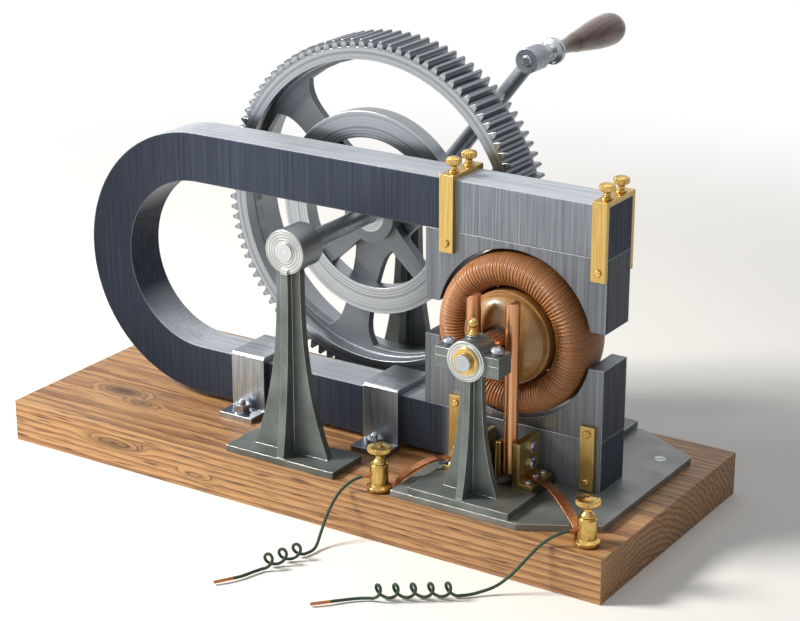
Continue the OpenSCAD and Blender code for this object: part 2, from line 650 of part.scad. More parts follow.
module lead_right() {
    lead(line_right);
    echo(lead_right_gap = self_gap(line_right, 8) - lead_diameter);
}

// Drive gear, its shaft and the crank

shaft_front = pillar_front_y + boss_front[0] - 1;
module gear_shaft() {
    color("#9aa0a8") difference() {
        rod_y(xg, zg, shaft_front, arm_y + 12.5 - shaft_front, gear_shaft_radius);
        translate([xg, gear_y2 - 8, zg - 40]) cylinder(h = 80, r = 2.5 + press_gap);
        translate([xg, arm_y, zg]) rotate([0, -crank_angle, 0]) translate([0, 0, -40])
            cylinder(h = 80, r = 2.5 + press_gap);
    }
}

// One window of the gear web, its sides drawn in polar steps so that the arms flare at both ends
rim_in = gear_pitch - 14.5;
function arm_half(r) = 13 + 17 * pow((r - 84) / 50, 4) * (r > 84 ? 1 : 0.4);
function window(c) = let(rs = [for (i = [0:16]) 44 + (rim_in - 6 - 44) * i / 16]) concat(
    [for (r = rs) let(a = c - 60 + asin(min(0.9, arm_half(r) / r))) r * [cos(a), sin(a)]],
    [for (i = [1:11]) let(r = rim_in - 6, h = 60 - asin(min(0.9, arm_half(r) / r)))
        (r + 5 * sin(i * 15)) * [cos(c - h + h * i / 6), sin(c - h + h * i / 6)]],
    [for (i = [16:-1:0]) let(r = rs[i], a = c + 60 - asin(min(0.9, arm_half(r) / r))) r * [cos(a), sin(a)]]);

module drive_gear() {
    color("#6a717b") translate([xg, 0, zg]) difference() {
        union() {
            along_y(gear_y, face_width) difference() {
                polygon(toothed(gear_teeth, mesh_angle));
                circle(r = rim_in, $fn = 128);
            }
            along_y(web_y, web) difference() {
                circle(r = rim_in + 1, $fn = 128);
                for (c = [76, 196, 316]) polygon(window(c));
            }
            rod_y(0, 0, web_y, gear_y2 + 2 - web_y, 26);
        }
        rod_y(0, 0, gear_y - 1, face_width + 20, gear_shaft_radius);
        translate([0, gear_y2 - 8, -40]) cylinder(h = 80, r = 2.5 + press_gap);
    }
}

spider_out = gear_tip * 0.594;
spider_in = gear_tip * 0.442;
module gear_spider() {
    color("#7d858f") translate([xg, 0, zg]) difference() {
        union() {
            along_y(gear_y - 1, 15) difference() {
                circle(r = spider_out, $fn = 128);
                circle(r = spider_in, $fn = 128);
            }
            along_y(gear_y + 3, 9) for (a = [45, 135, 225, 315]) rotate(a)
                polygon([[15, -10], [spider_in + 1, -7], [spider_in + 1, 7], [15, 10]]);
            rod_y(0, 0, gear_y - 4, 18, 25);
        }
        rod_y(0, 0, gear_y - 6, 30, gear_shaft_radius);
    }
}

module hub_pins() {
    color("#c9ced4") {
        translate([xg, gear_y2 - 8, zg - 26.4]) cylinder(h = 52.8, r = 2.5);
        translate([xg, arm_y, zg]) rotate([0, -crank_angle, 0]) translate([0, 0, -17.6])
            cylinder(h = 35.2, r = 2.5);
    }
}

crank_front = pillar_rear_y + boss_rear[1] + 0.5;
module crank_arm() {
    color("#7d858f") difference() {
        union() {
            rod_y(xg, zg, crank_front, arm_y + 10.5 - crank_front, 17);
            translate([xg, arm_y, zg]) rotate([0, 90 - crank_angle, 0])
                cylinder(h = crank_radius, r1 = 8, r2 = 6.4);
            rod_y(crank_x, crank_z, arm_y - 10, 21, eye_r);
        }
        rod_y(xg, zg, arm_y - 40, 80, gear_shaft_radius);
        rod_y(crank_x, crank_z, arm_y - 20, 40, 5);
        translate([xg, arm_y, zg]) rotate([0, -crank_angle, 0]) translate([0, 0, -40])
            cylinder(h = 80, r = 2.5 + press_gap);
    }
}

grip_end = grip_y + grip_length;
module handle_spindle() {
    color("#9aa0a8") turn_y(crank_x, crank_z) polygon([[0, arm_y - 11.5], [4, arm_y - 11.5],
        [5, arm_y - 10.5], [5, arm_y + 11], [8.4, arm_y + 11], [8.4, arm_y + 13], [6.6, arm_y + 15],
        [5.8, arm_y + 20], [6.2, arm_y + 27], [7.6, arm_y + 31], [11.4, arm_y + 33], [12, arm_y + 35],
        [11.6, arm_y + 38], [9, arm_y + 40], [4, arm_y + 40],
        [4, grip_end - 5], [6, grip_end - 5 + running_fit], [6, grip_end - 3], [4.5, grip_end - 1.6],
        [0, grip_end - 1.2]]);
}

function grip_r(u) = 7.4 - 1.2 * sin(min(180, u * 600))
    + (grip_radius - 7.4) * pow(sin(min(90, max(0, u - 0.06) * 112)), 2.1)
    - (u > 0.84 ? (grip_radius - 7.8) * pow((u - 0.84) / 0.16, 2.6) : 0);
module handle_grip() {
    color("#5c3520") turn_y(crank_x, crank_z) polygon(concat([[4 + running_fit, grip_y]],
        [for (i = [0:28]) [grip_r(i / 28), grip_y + grip_length * i / 28]],
        [[6.4, grip_end], [6.4, grip_end - 5], [4 + running_fit, grip_end - 5]]));
}

// Armature: shaft, ring, hub, commutator and pinion

module armature_shaft() {
    color("#9aa0a8") difference() {
        rod_y(xa, za, bearing_front_y - bearing_half - 5,
            bearing_rear_y - bearing_front_y + 2 * bearing_half + 9, shaft_radius);
        translate([xa, gear_y - 5, za - 40]) cylinder(h = 80, r = 2 + press_gap);
    }
}

ring_steps = 20;
function power(v, e) = sign(v) * pow(abs(v), e);
function section(a) = [power(cos(a), 0.78) * core_radial, power(sin(a), 0.78) * core_axial];
function outward(a) = let(p = section(a), g = [power(p[0] / core_radial, 1.56) / core_radial,
    power(p[1] / core_axial, 1.56) / core_axial]) g / norm(g);

module armature_core() {
    color("#3b3f46") turn_y(xa, za) polygon([for (i = [0:ring_steps - 1])
        [ring_mid, ring_y] + section(360 * i / ring_steps)]);
}

// One unbroken flat band wound round the core, six points to a ring
turn_step = 360 / winding_turns;
winding_rings = winding_turns * ring_steps - 2;
turn_gap = 0.8;
function band_point(k, side, lift) = let(a = 180 + 360 * k / ring_steps, p = section(a), n = outward(a),
    q = [ring_mid, ring_y] + p + (part_gap + lift) * n,
    w = turn_step / 2 - asin(turn_gap / 2 / (ring_mid + p[0])),
    th = turn_step * k / ring_steps + side * w) [xa + q[0] * cos(th), q[1], za + q[0] * sin(th)];
function band_ring(k) = [band_point(k, -1, 0), band_point(k, 0, 0), band_point(k, 1, 0),
    band_point(k, 0.72, winding_thick * 0.82), band_point(k, 0, winding_thick),
    band_point(k, -0.72, winding_thick * 0.82)];
module armature_winding() {
    color("#9a5a34") polyhedron([for (k = [0:winding_rings - 1]) each band_ring(k)],
        tube_faces(winding_rings, 6), convexity = 12);
    echo(winding_gap = min([for (k = [0:ring_steps - 1], j = [k + ring_steps - 4:k + ring_steps + 4],
        a = band_ring(k), b = band_ring(j)) norm(a - b)]));
}

hub_r = ring_mid - core_radial - part_gap - winding_thick - 0.45;
hub_front = ring_y - core_axial;
hub_back = ring_y + core_axial;
dome = 13.5;
module armature_hub() {
    color("#8c6a3a") turn_y(xa, za) polygon(concat([[shaft_radius, hub_back + 8],
        [shaft_radius, hub_front - dome], [13, hub_front - dome]],
        [for (i = [0:12]) [13 + (hub_r - 2.2 - 13) * sin(i * 7.5), hub_front - dome * cos(i * 7.5)]],
        [[hub_r, hub_front], [hub_r, hub_front + 2.4]],
        [for (i = [0:8]) [16 + (hub_r - 16) * cos(i * 11.25), hub_back + 8 * sin(i * 11.25)]]));
}

comm_back = hub_front - dome;
collar = 1.6;
comm_front = bearing_front_y + bearing_half + 3;
module commutator_sleeve() {
    color("#241f1d") turn_y(xa, za) polygon([[shaft_radius, comm_front], [commutator_radius - 3, comm_front],
        [commutator_radius - 3, comm_back - collar], [14.5, comm_back - collar], [14.5, comm_back],
        [shaft_radius, comm_back]]);
}

module commutator_bars() {
    color("#c0733d") translate([xa, 0, za]) difference() {
        rod_y(0, 0, comm_front + 0.5, comm_back - collar - comm_front - 0.5, commutator_radius);
        rod_y(0, 0, comm_front - 1, 60, commutator_radius - 3);
        for (i = [0:commutator_bars_count - 1]) rotate([0, 360 * i / commutator_bars_count, 0])
            box(commutator_radius - 2, commutator_radius + 1, comm_front - 1, comm_back - collar - 1,
                -0.3, 0.3);
    }
}

module pinion() {
    color("#8d949d") translate([xa, 0, za]) difference() {
        union() {
            along_y(gear_y, face_width) polygon(toothed(pinion_teeth, mesh_angle + 180 + 180 / pinion_teeth));
            rod_y(0, 0, gear_y - 9, 10, 15);
        }
        rod_y(0, 0, gear_y - 20, 80, shaft_radius);
        translate([0, gear_y - 5, -40]) cylinder(h = 80, r = 2 + press_gap);
    }
}

module pinion_pin() {
    color("#c9ced4") translate([xa, gear_y - 5, za - 15.4]) cylinder(h = 30.8, r = 2);
}

base_board();
bed_plate();
bed_plate_screws();
horseshoe_magnet();
upper_pole_shoe();
lower_pole_shoe();
pole_strap_left();
pole_strap_right();
strap_thumb_screws();
strap_side_screws();
tie_plates_left();
tie_plates_right();
tie_plate_screws();
magnet_saddle_left();
magnet_saddle_right();
saddle_bolts();
magnet_packing();
gear_pillar_front();
gear_pillar_rear();
pillar_bolts();
bearing_pillar_front();
bearing_pillar_rear();
bearing_cap_front();
bearing_cap_rear();
bearing_bush_front();
bearing_bush_rear();
bearing_cap_screws();
oil_cups();
brush_bracket_left();
brush_bracket_right();
bracket_pads();
brush_jaws();
brush_left();
brush_right();
bracket_screws();
jaw_screws();
copper_strip_left();
copper_strip_right();
terminal_post_left();
terminal_post_right();
terminal_screw_left();
terminal_screw_right();
lead_left();
lead_right();
gear_shaft();
drive_gear();
gear_spider();
hub_pins();
crank_arm();
handle_spindle();
handle_grip();
armature_shaft();
armature_core();
armature_winding();
armature_hub();
commutator_sleeve();
commutator_bars();
pinion();
pinion_pin();
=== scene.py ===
"""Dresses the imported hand-cranked magneto-electric machine: finishes for its metal and wood, the wire on its
ring, its two leads, and a plain pale studio. Metres, +Z up, X along the base, +Y away from the viewer."""

import json
import math

import bpy
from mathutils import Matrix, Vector


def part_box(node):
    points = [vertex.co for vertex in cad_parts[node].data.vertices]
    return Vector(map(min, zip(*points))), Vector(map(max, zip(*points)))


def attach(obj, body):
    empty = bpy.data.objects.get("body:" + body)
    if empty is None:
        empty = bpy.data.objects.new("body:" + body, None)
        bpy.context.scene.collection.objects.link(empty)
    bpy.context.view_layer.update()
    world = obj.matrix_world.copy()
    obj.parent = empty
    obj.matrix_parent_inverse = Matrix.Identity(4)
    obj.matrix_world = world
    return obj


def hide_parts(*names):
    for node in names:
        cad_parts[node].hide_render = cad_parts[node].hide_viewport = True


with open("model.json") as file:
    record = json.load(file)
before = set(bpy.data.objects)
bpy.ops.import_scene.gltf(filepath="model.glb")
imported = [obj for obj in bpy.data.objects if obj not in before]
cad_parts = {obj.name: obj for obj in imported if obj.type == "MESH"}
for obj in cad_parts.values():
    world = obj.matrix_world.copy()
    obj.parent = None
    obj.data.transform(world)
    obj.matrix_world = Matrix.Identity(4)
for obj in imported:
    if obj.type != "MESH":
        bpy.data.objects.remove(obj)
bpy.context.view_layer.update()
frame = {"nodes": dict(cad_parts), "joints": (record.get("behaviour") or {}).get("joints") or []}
bpy.ops.object.select_all(action="DESELECT")


# Base board
# A planed plank of mahogany, oiled, with its grain along the length and knots near the left end.
# Its growth rings are one solid pattern, so that the top, the front and the end show the same wood.

BOARD_RING_MM = 5.2
# Pores are drawn about twice as far apart as real ones, so that they show.
BOARD_PORE_MM = 1.1
BOARD_EASE_MM = 1.0
# A wave texture of scale 1 repeats after this length.
WAVE_PERIOD = 0.314
# The middle of each knot, its reach along X, Y and Z, and how far it lifts the rings, in metres.
BOARD_KNOTS = (
    ((-0.232, -0.052, 0.038), (0.042, 0.016, 0.03), 0.02),
    ((-0.198, -0.066, 0.038), (0.03, 0.012, 0.03), 0.014),
    ((-0.185, -0.123, 0.022), (0.052, 0.03, 0.0085), 0.016),
    ((-0.095, -0.123, 0.013), (0.03, 0.03, 0.006), 0.01),
    ((0.21, 0.123, 0.02), (0.05, 0.03, 0.009), 0.014),
)


def linear(hex_colour):
    """An sRGB hex colour as the linear values that a shader socket takes."""
    parts = [int(hex_colour[i : i + 2], 16) / 255 for i in (1, 3, 5)]
    return [p / 12.92 if p <= 0.04045 else ((p + 0.055) / 1.055) ** 2.4 for p in parts] + [1.0]


def per_mm(size):
    """The texture scale, per metre, of a pattern that repeats after this many millimetres."""
    return 1000.0 / size


def add(material, kind, inputs=None, **settings):
    """Adds one shader node with its settings. Inputs go by socket name or number, and each is a value or the
    output of another node."""
    node = material.node_tree.nodes.new(kind)
    for name, value in settings.items():
        setattr(node, name, value)
    for socket, value in (inputs or {}).items():
        if isinstance(value, bpy.types.NodeSocket):
            material.node_tree.links.new(value, node.inputs[socket])
        else:
            node.inputs[socket].default_value = value
    return node


def empty_material(name):
    """A material with no nodes yet, named for the real finish."""
    material = bpy.data.materials.new(name)
    material.use_nodes = True
    material.node_tree.nodes.clear()
    return material


def worn_edges(material, radius_mm):
    """A normal with the sharp edges eased by that radius, and a mask that is 1 along those edges."""
    eased = add(material, "ShaderNodeBevel", {"Radius": radius_mm / 1000}, samples=8).outputs[0]
    flat = add(material, "ShaderNodeNewGeometry").outputs["Normal"]
    turn = add(
        material, "ShaderNodeVectorMath", {0: eased, 1: flat}, operation="DOT_PRODUCT"
    ).outputs["Value"]
    mask = add(material, "ShaderNodeMapRange", {"Value": turn, "From Min": 0.99, "From Max": 0.8}).outputs[0]
    return eased, mask


def dress(material, *names):
    """Puts a finish on CAD nodes, which keep their shape."""
    for name in names:
        for slot in frame["nodes"][name].material_slots:
            slot.material = material


# Oiled mahogany: a warm brown with darker ring lines, short dark pores along the grain and a dull sheen.
board_wood = empty_material("oiled_mahogany")
place = add(board_wood, "ShaderNodeTexCoord").outputs["Object"]
lifts = []
for knot, reach, rise in BOARD_KNOTS:
    offset = add(board_wood, "ShaderNodeVectorMath", {0: place, 1: knot}, operation="SUBTRACT").outputs[0]
    scaled = add(board_wood, "ShaderNodeVectorMath", {0: offset, 1: reach}, operation="DIVIDE").outputs[0]
    away = add(board_wood, "ShaderNodeVectorMath", {0: scaled}, operation="LENGTH").outputs["Value"]
    lift = add(
        board_wood,
        "ShaderNodeMapRange",
        {"Value": away, "From Min": 0.0, "From Max": 1.0, "To Min": rise, "To Max": 0.0},
        interpolation_type="SMOOTHSTEP",
    ).outputs[0]
    lifts.append(lift)
swell = lifts[0]
for lift in lifts[1:]:
    swell = add(board_wood, "ShaderNodeMath", {0: swell, 1: lift}, operation="ADD").outputs[0]
upward = add(board_wood, "ShaderNodeCombineXYZ", {"Z": swell}).outputs[0]
bent = add(board_wood, "ShaderNodeVectorMath", {0: place, 1: upward}, operation="ADD").outputs[0]
log = add(
    board_wood,
    "ShaderNodeMapping",
    {
        "Vector": bent,
        "Location": (0.0, 0.05, 0.09),
        "Rotation": (0.0, 0.012, 0.02),
        "Scale": (0.06, 1.0, 1.0),
    },
).outputs[0]
ripple = add(board_wood, "ShaderNodeTexNoise", {"Vector": log, "Scale": per_mm(38), "Detail": 3.0}).outputs[0]
rings = add(
    board_wood,
    "ShaderNodeTexWave",
    {
        "Vector": log,
        "Scale": WAVE_PERIOD * per_mm(BOARD_RING_MM),
        "Distortion": 5.0,
        "Detail": 3.0,
        "Detail Scale": 1.2,
    },
    wave_type="RINGS",
    rings_direction="X",
    wave_profile="SAW",
).outputs["Fac"]
streak = add(board_wood, "ShaderNodeMapping", {"Vector": bent, "Scale": (0.035, 1.0, 1.0)}).outputs[0]
pores = add(
    board_wood, "ShaderNodeTexNoise", {"Vector": streak, "Scale": per_mm(BOARD_PORE_MM), "Detail": 2.0}
).outputs[0]
pore = add(board_wood, "ShaderNodeMapRange", {"Value": pores, "From Min": 0.54, "From Max": 0.7}).outputs[0]
late = add(board_wood, "ShaderNodeMapRange", {"Value": rings, "From Min": 0.35, "From Max": 1.0}).outputs[0]
heart = add(
    board_wood, "ShaderNodeMapRange", {"Value": swell, "From Min": 0.004, "From Max": 0.02}
).outputs[0]
early_wood = add(
    board_wood, "ShaderNodeMix", {0: ripple, 6: linear("#c69a68"), 7: linear("#ad7f4e")}, data_type="RGBA"
).outputs[2]
ringed = add(
    board_wood, "ShaderNodeMix", {0: late, 6: early_wood, 7: linear("#7f5433")}, data_type="RGBA"
).outputs[2]
pored = add(
    board_wood, "ShaderNodeMix", {0: pore, 6: ringed, 7: linear("#4d2d19")}, data_type="RGBA"
).outputs[2]
knotted = add(
    board_wood, "ShaderNodeMix", {0: heart, 6: pored, 7: linear("#43230f")}, data_type="RGBA"
).outputs[2]
board_eased, board_edge = worn_edges(board_wood, BOARD_EASE_MM)
rubbed = add(board_wood, "ShaderNodeMath", {0: board_edge, 1: 0.45}, operation="MULTIPLY").outputs[0]
board_colour = add(
    board_wood, "ShaderNodeMix", {0: rubbed, 6: knotted, 7: linear("#cfa374")}, data_type="RGBA"
).outputs[2]
board_height = add(board_wood, "ShaderNodeMath", {0: late, 1: pore}, operation="ADD").outputs[0]
board_normal = add(
    board_wood,
    "ShaderNodeBump",
    {"Strength": 0.35, "Distance": 0.0003, "Height": board_height, "Normal": board_eased},
    invert=True,
).outputs[0]
board_gloss = add(
    board_wood,
    "ShaderNodeMapRange",
    {"Value": pores, "From Min": 0.3, "From Max": 0.7, "To Min": 0.4, "To Max": 0.58},
).outputs[0]
board_shader = add(
    board_wood,
    "ShaderNodeBsdfPrincipled",
    {
        "Base Color": board_colour,
        "Roughness": board_gloss,
        "Normal": board_normal,
        "IOR": 1.5,
        "Coat Weight": 0.12,
        "Coat Roughness": 0.35,
    },
).outputs[0]
add(board_wood, "ShaderNodeOutputMaterial", {"Surface": board_shader})
dress(board_wood, "base_board")


# Bed plate, gear pillars and bearing pillars with their caps
# Grey iron castings, filed and given one thin coat of dark varnish, with bosses that are turned bright.
# The plate is screwed to the board, and the pillars are held by bolts from under the board.

# Sand grain and tool marks are drawn coarser than real ones, so that they show.
CASTING_GRAIN_MM = 1.6
CASTING_CUT_MM = 2.45
# The bosses' radii, with a hair over.
GEAR_BOSS_MM = 19.15
BEARING_BOSS_MM = 16.7


def joint_place(name):
    """The point that a joint of the frame turns about."""
    return Vector(next(joint["pos_m"] for joint in frame["joints"] if joint["name"] == name))


def axis_distance(material, place, axis):
    """How far each place of a piece is from an axis along Y."""
    about = add(material, "ShaderNodeVectorMath", {0: place, 1: axis}, operation="SUBTRACT").outputs[0]
    flat = add(material, "ShaderNodeVectorMath", {0: about, 1: (1, 0, 1)}, operation="MULTIPLY").outputs[0]
    return add(material, "ShaderNodeVectorMath", {0: flat}, operation="LENGTH").outputs["Value"]


def cast_iron(name, colour, shade, bright, axis, boss_mm, least_square=0.9):
    """Varnished grey iron: a fine sandy skin, paler worn edges, and a boss turned round one axis along Y.
    The boss is bright where it faces along Y at least so squarely, or all over if that is below 0."""
    iron = empty_material(name)
    coords = add(iron, "ShaderNodeTexCoord").outputs
    sand = add(
        iron,
        "ShaderNodeTexNoise",
        {"Vector": coords["Object"], "Scale": per_mm(CASTING_GRAIN_MM), "Detail": 4.0},
    ).outputs[0]
    cloud = add(
        iron, "ShaderNodeTexNoise", {"Vector": coords["Object"], "Scale": per_mm(26), "Detail": 3.0}
    ).outputs[0]
    radius = axis_distance(iron, coords["Object"], axis)
    within = add(iron, "ShaderNodeMath", {0: radius, 1: boss_mm / 1000}, operation="LESS_THAN").outputs[0]
    along = add(iron, "ShaderNodeSeparateXYZ", {0: coords["Normal"]}).outputs["Y"]
    square = add(iron, "ShaderNodeMath", {0: along}, operation="ABSOLUTE").outputs[0]
    face = add(iron, "ShaderNodeMath", {0: square, 1: least_square}, operation="GREATER_THAN").outputs[0]
    turned = add(iron, "ShaderNodeMath", {0: within, 1: face}, operation="MULTIPLY").outputs[0]
    ring = add(
        iron, "ShaderNodeMath", {0: radius, 1: 2 * math.pi * per_mm(CASTING_CUT_MM)}, operation="MULTIPLY"
    ).outputs[0]
    groove = add(iron, "ShaderNodeMath", {0: ring}, operation="SINE").outputs[0]
    eased, edge = worn_edges(iron, radius_mm=0.9)
    patch = add(iron, "ShaderNodeMapRange", {"Value": cloud, "From Min": 0.32, "From Max": 0.68}).outputs[0]
    varnish = add(
        iron, "ShaderNodeMix", {0: patch, 6: linear(colour), 7: linear(shade)}, data_type="RGBA"
    ).outputs[2]
    bare = add(iron, "ShaderNodeMath", {0: turned, 1: edge}, operation="MAXIMUM").outputs[0]
    hollow = add(
        iron, "ShaderNodeMapRange", {"Value": groove, "From Min": -0.2, "From Max": 1.0, "To Max": 0.55}
    ).outputs[0]
    cut = add(
        iron, "ShaderNodeMix", {0: hollow, 6: linear(bright), 7: linear(shade)}, data_type="RGBA"
    ).outputs[2]
    skin = add(iron, "ShaderNodeMix", {0: bare, 6: varnish, 7: cut}, data_type="RGBA").outputs[2]
    rough = add(iron, "ShaderNodeMapRange", {"Value": bare, "To Min": 0.46, "To Max": 0.3}).outputs[0]
    metal = add(iron, "ShaderNodeMapRange", {"Value": bare, "To Min": 0.55, "To Max": 1.0}).outputs[0]
    relief = add(iron, "ShaderNodeMix", {0: turned, 2: sand, 3: groove}, data_type="FLOAT").outputs[0]
    normal = add(
        iron, "ShaderNodeBump", {"Strength": 0.5, "Distance": 0.0004, "Height": relief, "Normal": eased}
    ).outputs[0]
    shader = add(
        iron,
        "ShaderNodeBsdfPrincipled",
        {"Base Color": skin, "Metallic": metal, "Roughness": rough, "Normal": normal},
    ).outputs[0]
    add(iron, "ShaderNodeOutputMaterial", {"Surface": shader})
    return iron


armature_axis = joint_place("armature_spin")
gear_axis = joint_place("crank_turn")
bed_iron = cast_iron(
    "varnished_iron_plate", colour="#939795", shade="#7a7f7d", bright="#c6cac9", axis=armature_axis, boss_mm=0
)
gear_pillar_iron = cast_iron(
    "varnished_gear_casting",
    colour="#747b79",
    shade="#59615f",
    bright="#c6cac9",
    axis=gear_axis,
    boss_mm=GEAR_BOSS_MM,
    least_square=-1.0,
)
bearing_iron = cast_iron(
    "varnished_bearing_casting",
    colour="#7a817f",
    shade="#5f6765",
    bright="#cacecd",
    axis=armature_axis,
    boss_mm=BEARING_BOSS_MM,
)
dress(bed_iron, "bed_plate")
dress(gear_pillar_iron, "gear_pillar_front", "gear_pillar_rear")
dress(bearing_iron, "bearing_pillar_front", "bearing_pillar_rear", "bearing_cap_front", "bearing_cap_rear")


# Screws, bolts and pins of steel
# Bought steel fastenings, turned and polished, some with slots sawn in their heads.
# They hold the bed plate, castings, saddles, bearing caps, brush brackets and jaws, and pin the wheels on.

SCREW_EASE_MM = 0.35
screw_steel = empty_material("polished_screw_steel")
screw_place = add(screw_steel, "ShaderNodeTexCoord").outputs["Object"]
# The lathe marks of so small a head are drawn at 0.6 mm, coarser than real ones, so that they show.
screw_marks = add(
    screw_steel, "ShaderNodeTexNoise", {"Vector": screw_place, "Scale": per_mm(0.6), "Detail": 2.0}
).outputs[0]
screw_stain = add(
    screw_steel, "ShaderNodeTexNoise", {"Vector": screw_place, "Scale": per_mm(7), "Detail": 3.0}
).outputs[0]
screw_colour = add(
    screw_steel,
    "ShaderNodeMix",
    {0: screw_stain, 6: linear("#c3c7cc"), 7: linear("#8d939b")},
    data_type="RGBA",
).outputs[2]
screw_rough = add(
    screw_steel, "ShaderNodeMapRange", {"Value": screw_marks, "To Min": 0.18, "To Max": 0.36}
).outputs[0]
screw_eased = add(screw_steel, "ShaderNodeBevel", {"Radius": SCREW_EASE_MM / 1000}, samples=8).outputs[0]
screw_normal = add(
    screw_steel,
    "ShaderNodeBump",
    {"Strength": 0.1, "Distance": 0.0002, "Height": screw_marks, "Normal": screw_eased},
).outputs[0]
screw_shader = add(
    screw_steel,
    "ShaderNodeBsdfPrincipled",
    {"Base Color": screw_colour, "Metallic": 1.0, "Roughness": screw_rough, "Normal": screw_normal},
).outputs[0]
add(screw_steel, "ShaderNodeOutputMaterial", {"Surface": screw_shader})
dress(screw_steel, "bed_plate_screws", "saddle_bolts", "pillar_bolts", "bearing_cap_screws")
dress(screw_steel, "bracket_screws", "jaw_screws", "hub_pins", "pinion_pin")


# Horseshoe magnet
# One thick bar of hardened steel bent into a lying U, blued dark on its sides and ends and ground bright on
# the faces between; this two-tone finish is also painted light, a paler lit top against painted shade on the
# sides and ends.
# The flat sides are painted darker toward the bend as shade, and are paler from the left strap to the poles.

# How far from the bend the painted shade on the flat sides fades out.
BEND_SHADE_FADE_M = 0.17


def ground_metal(
    name, colour, shade, bright, mark_mm, stretch, roughness, ease_mm, edge_colours=None, zones=(), dull=0.0
):
    """Ground or rolled metal: marks that run up the sides, and along the level faces, which may be duller and
    have their own colours. A zone fades other colours into the flat sides, from one X to another."""
    metal = empty_material(name)
    coords = add(metal, "ShaderNodeTexCoord").outputs
    upright = add(
        metal, "ShaderNodeMapping", {"Vector": coords["Object"], "Scale": (1.0, 1.0, stretch)}
    ).outputs[0]
    lengthwise = add(
        metal, "ShaderNodeMapping", {"Vector": coords["Object"], "Scale": (stretch, 1.0, 1.0)}
    ).outputs[0]
    facing = add(metal, "ShaderNodeSeparateXYZ", {0: coords["Normal"]}).outputs
    level = add(metal, "ShaderNodeMath", {0: facing["Z"]}, operation="ABSOLUTE").outputs[0]
    lying = add(metal, "ShaderNodeMapRange", {"Value": level, "From Min": 0.45, "From Max": 0.8}).outputs[0]
    # Real marks are far finer. They are drawn as coarse as mark_mm, so that they show.
    strokes = []
    for stretched in (upright, lengthwise):
        stroke = add(
            metal,
            "ShaderNodeTexNoise",
            {"Vector": stretched, "Scale": per_mm(mark_mm), "Detail": 3.0, "Roughness": 0.65},
        ).outputs[0]
        strokes.append(stroke)
    rising, running = strokes
    marks = add(metal, "ShaderNodeMix", {0: lying, 2: rising, 3: running}, data_type="FLOAT").outputs[0]
    cloud = add(
        metal, "ShaderNodeTexNoise", {"Vector": coords["Object"], "Scale": per_mm(45), "Detail": 4.0}
    ).outputs[0]
    line = add(metal, "ShaderNodeMapRange", {"Value": marks, "From Min": 0.35, "From Max": 0.65}).outputs[0]
    tint = add(
        metal, "ShaderNodeMix", {0: line, 6: linear(shade), 7: linear(colour)}, data_type="RGBA"
    ).outputs[2]
    if zones:
        across = add(metal, "ShaderNodeSeparateXYZ", {0: coords["Object"]}).outputs["X"]
        outward = add(metal, "ShaderNodeMath", {0: facing["Y"]}, operation="ABSOLUTE").outputs[0]
        side = add(metal, "ShaderNodeMath", {0: outward, 1: 0.5}, operation="GREATER_THAN").outputs[0]
    for start, stop, dark, pale in zones:
        fade = add(
            metal,
            "ShaderNodeMapRange",
            {"Value": across, "From Min": start, "From Max": stop},
            interpolation_type="SMOOTHSTEP",
        ).outputs[0]
        reach = add(metal, "ShaderNodeMath", {0: fade, 1: side}, operation="MULTIPLY").outputs[0]
        own = add(
            metal, "ShaderNodeMix", {0: line, 6: linear(dark), 7: linear(pale)}, data_type="RGBA"
        ).outputs[2]
        tint = add(metal, "ShaderNodeMix", {0: reach, 6: tint, 7: own}, data_type="RGBA").outputs[2]
    if edge_colours:
        dark, pale = edge_colours
        own = add(
            metal, "ShaderNodeMix", {0: line, 6: linear(dark), 7: linear(pale)}, data_type="RGBA"
        ).outputs[2]
        tint = add(metal, "ShaderNodeMix", {0: lying, 6: tint, 7: own}, data_type="RGBA").outputs[2]
    veil = add(
        metal, "ShaderNodeMapRange", {"Value": cloud, "From Min": 0.45, "From Max": 0.75, "To Max": 0.16}
    ).outputs[0]
    toned = add(metal, "ShaderNodeMix", {0: veil, 6: tint, 7: linear(shade)}, data_type="RGBA").outputs[2]
    eased, edge = worn_edges(metal, ease_mm)
    rubbed = add(metal, "ShaderNodeMath", {0: edge, 1: 0.7}, operation="MULTIPLY").outputs[0]
    skin = add(metal, "ShaderNodeMix", {0: rubbed, 6: toned, 7: linear(bright)}, data_type="RGBA").outputs[2]
    gloss = add(
        metal, "ShaderNodeMapRange", {"Value": line, "To Min": roughness + 0.1, "To Max": roughness - 0.05}
    ).outputs[0]
    if dull:
        gloss = add(
            metal, "ShaderNodeMath", {0: lying, 1: dull, 2: gloss}, operation="MULTIPLY_ADD"
        ).outputs[0]
    normal = add(
        metal, "ShaderNodeBump", {"Strength": 0.16, "Distance": 0.0003, "Height": line, "Normal": eased}
    ).outputs[0]
    shader = add(
        metal,
        "ShaderNodeBsdfPrincipled",
        {"Base Color": skin, "Metallic": 1.0, "Roughness": gloss, "Normal": normal},
    ).outputs[0]
    add(metal, "ShaderNodeOutputMaterial", {"Surface": shader})
    return metal


magnet_low, magnet_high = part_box("horseshoe_magnet")
strap_low, strap_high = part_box("pole_strap_left")
magnet_steel = ground_metal(
    "blued_magnet_steel",
    # The blued colours are also painted shade on the sides and ends, and the paler ground colours of the level
    # faces stand partly for light on the top.
    colour="#484f5d",
    shade="#383e4b",
    bright="#a7aeb8",
    mark_mm=1.3,
    stretch=0.012,
    roughness=0.58,
    ease_mm=1.6,
    edge_colours=("#a6acb5", "#c6cbd1"),
    zones=(
        # Painted shade: the flat sides darken toward the bend.
        (magnet_low.x + BEND_SHADE_FADE_M, magnet_low.x, "#262b36", "#323844"),
        (strap_low.x, strap_high.x, "#71767e", "#8f949c"),
    ),
    dull=0.2,
)
dress(magnet_steel, "horseshoe_magnet")
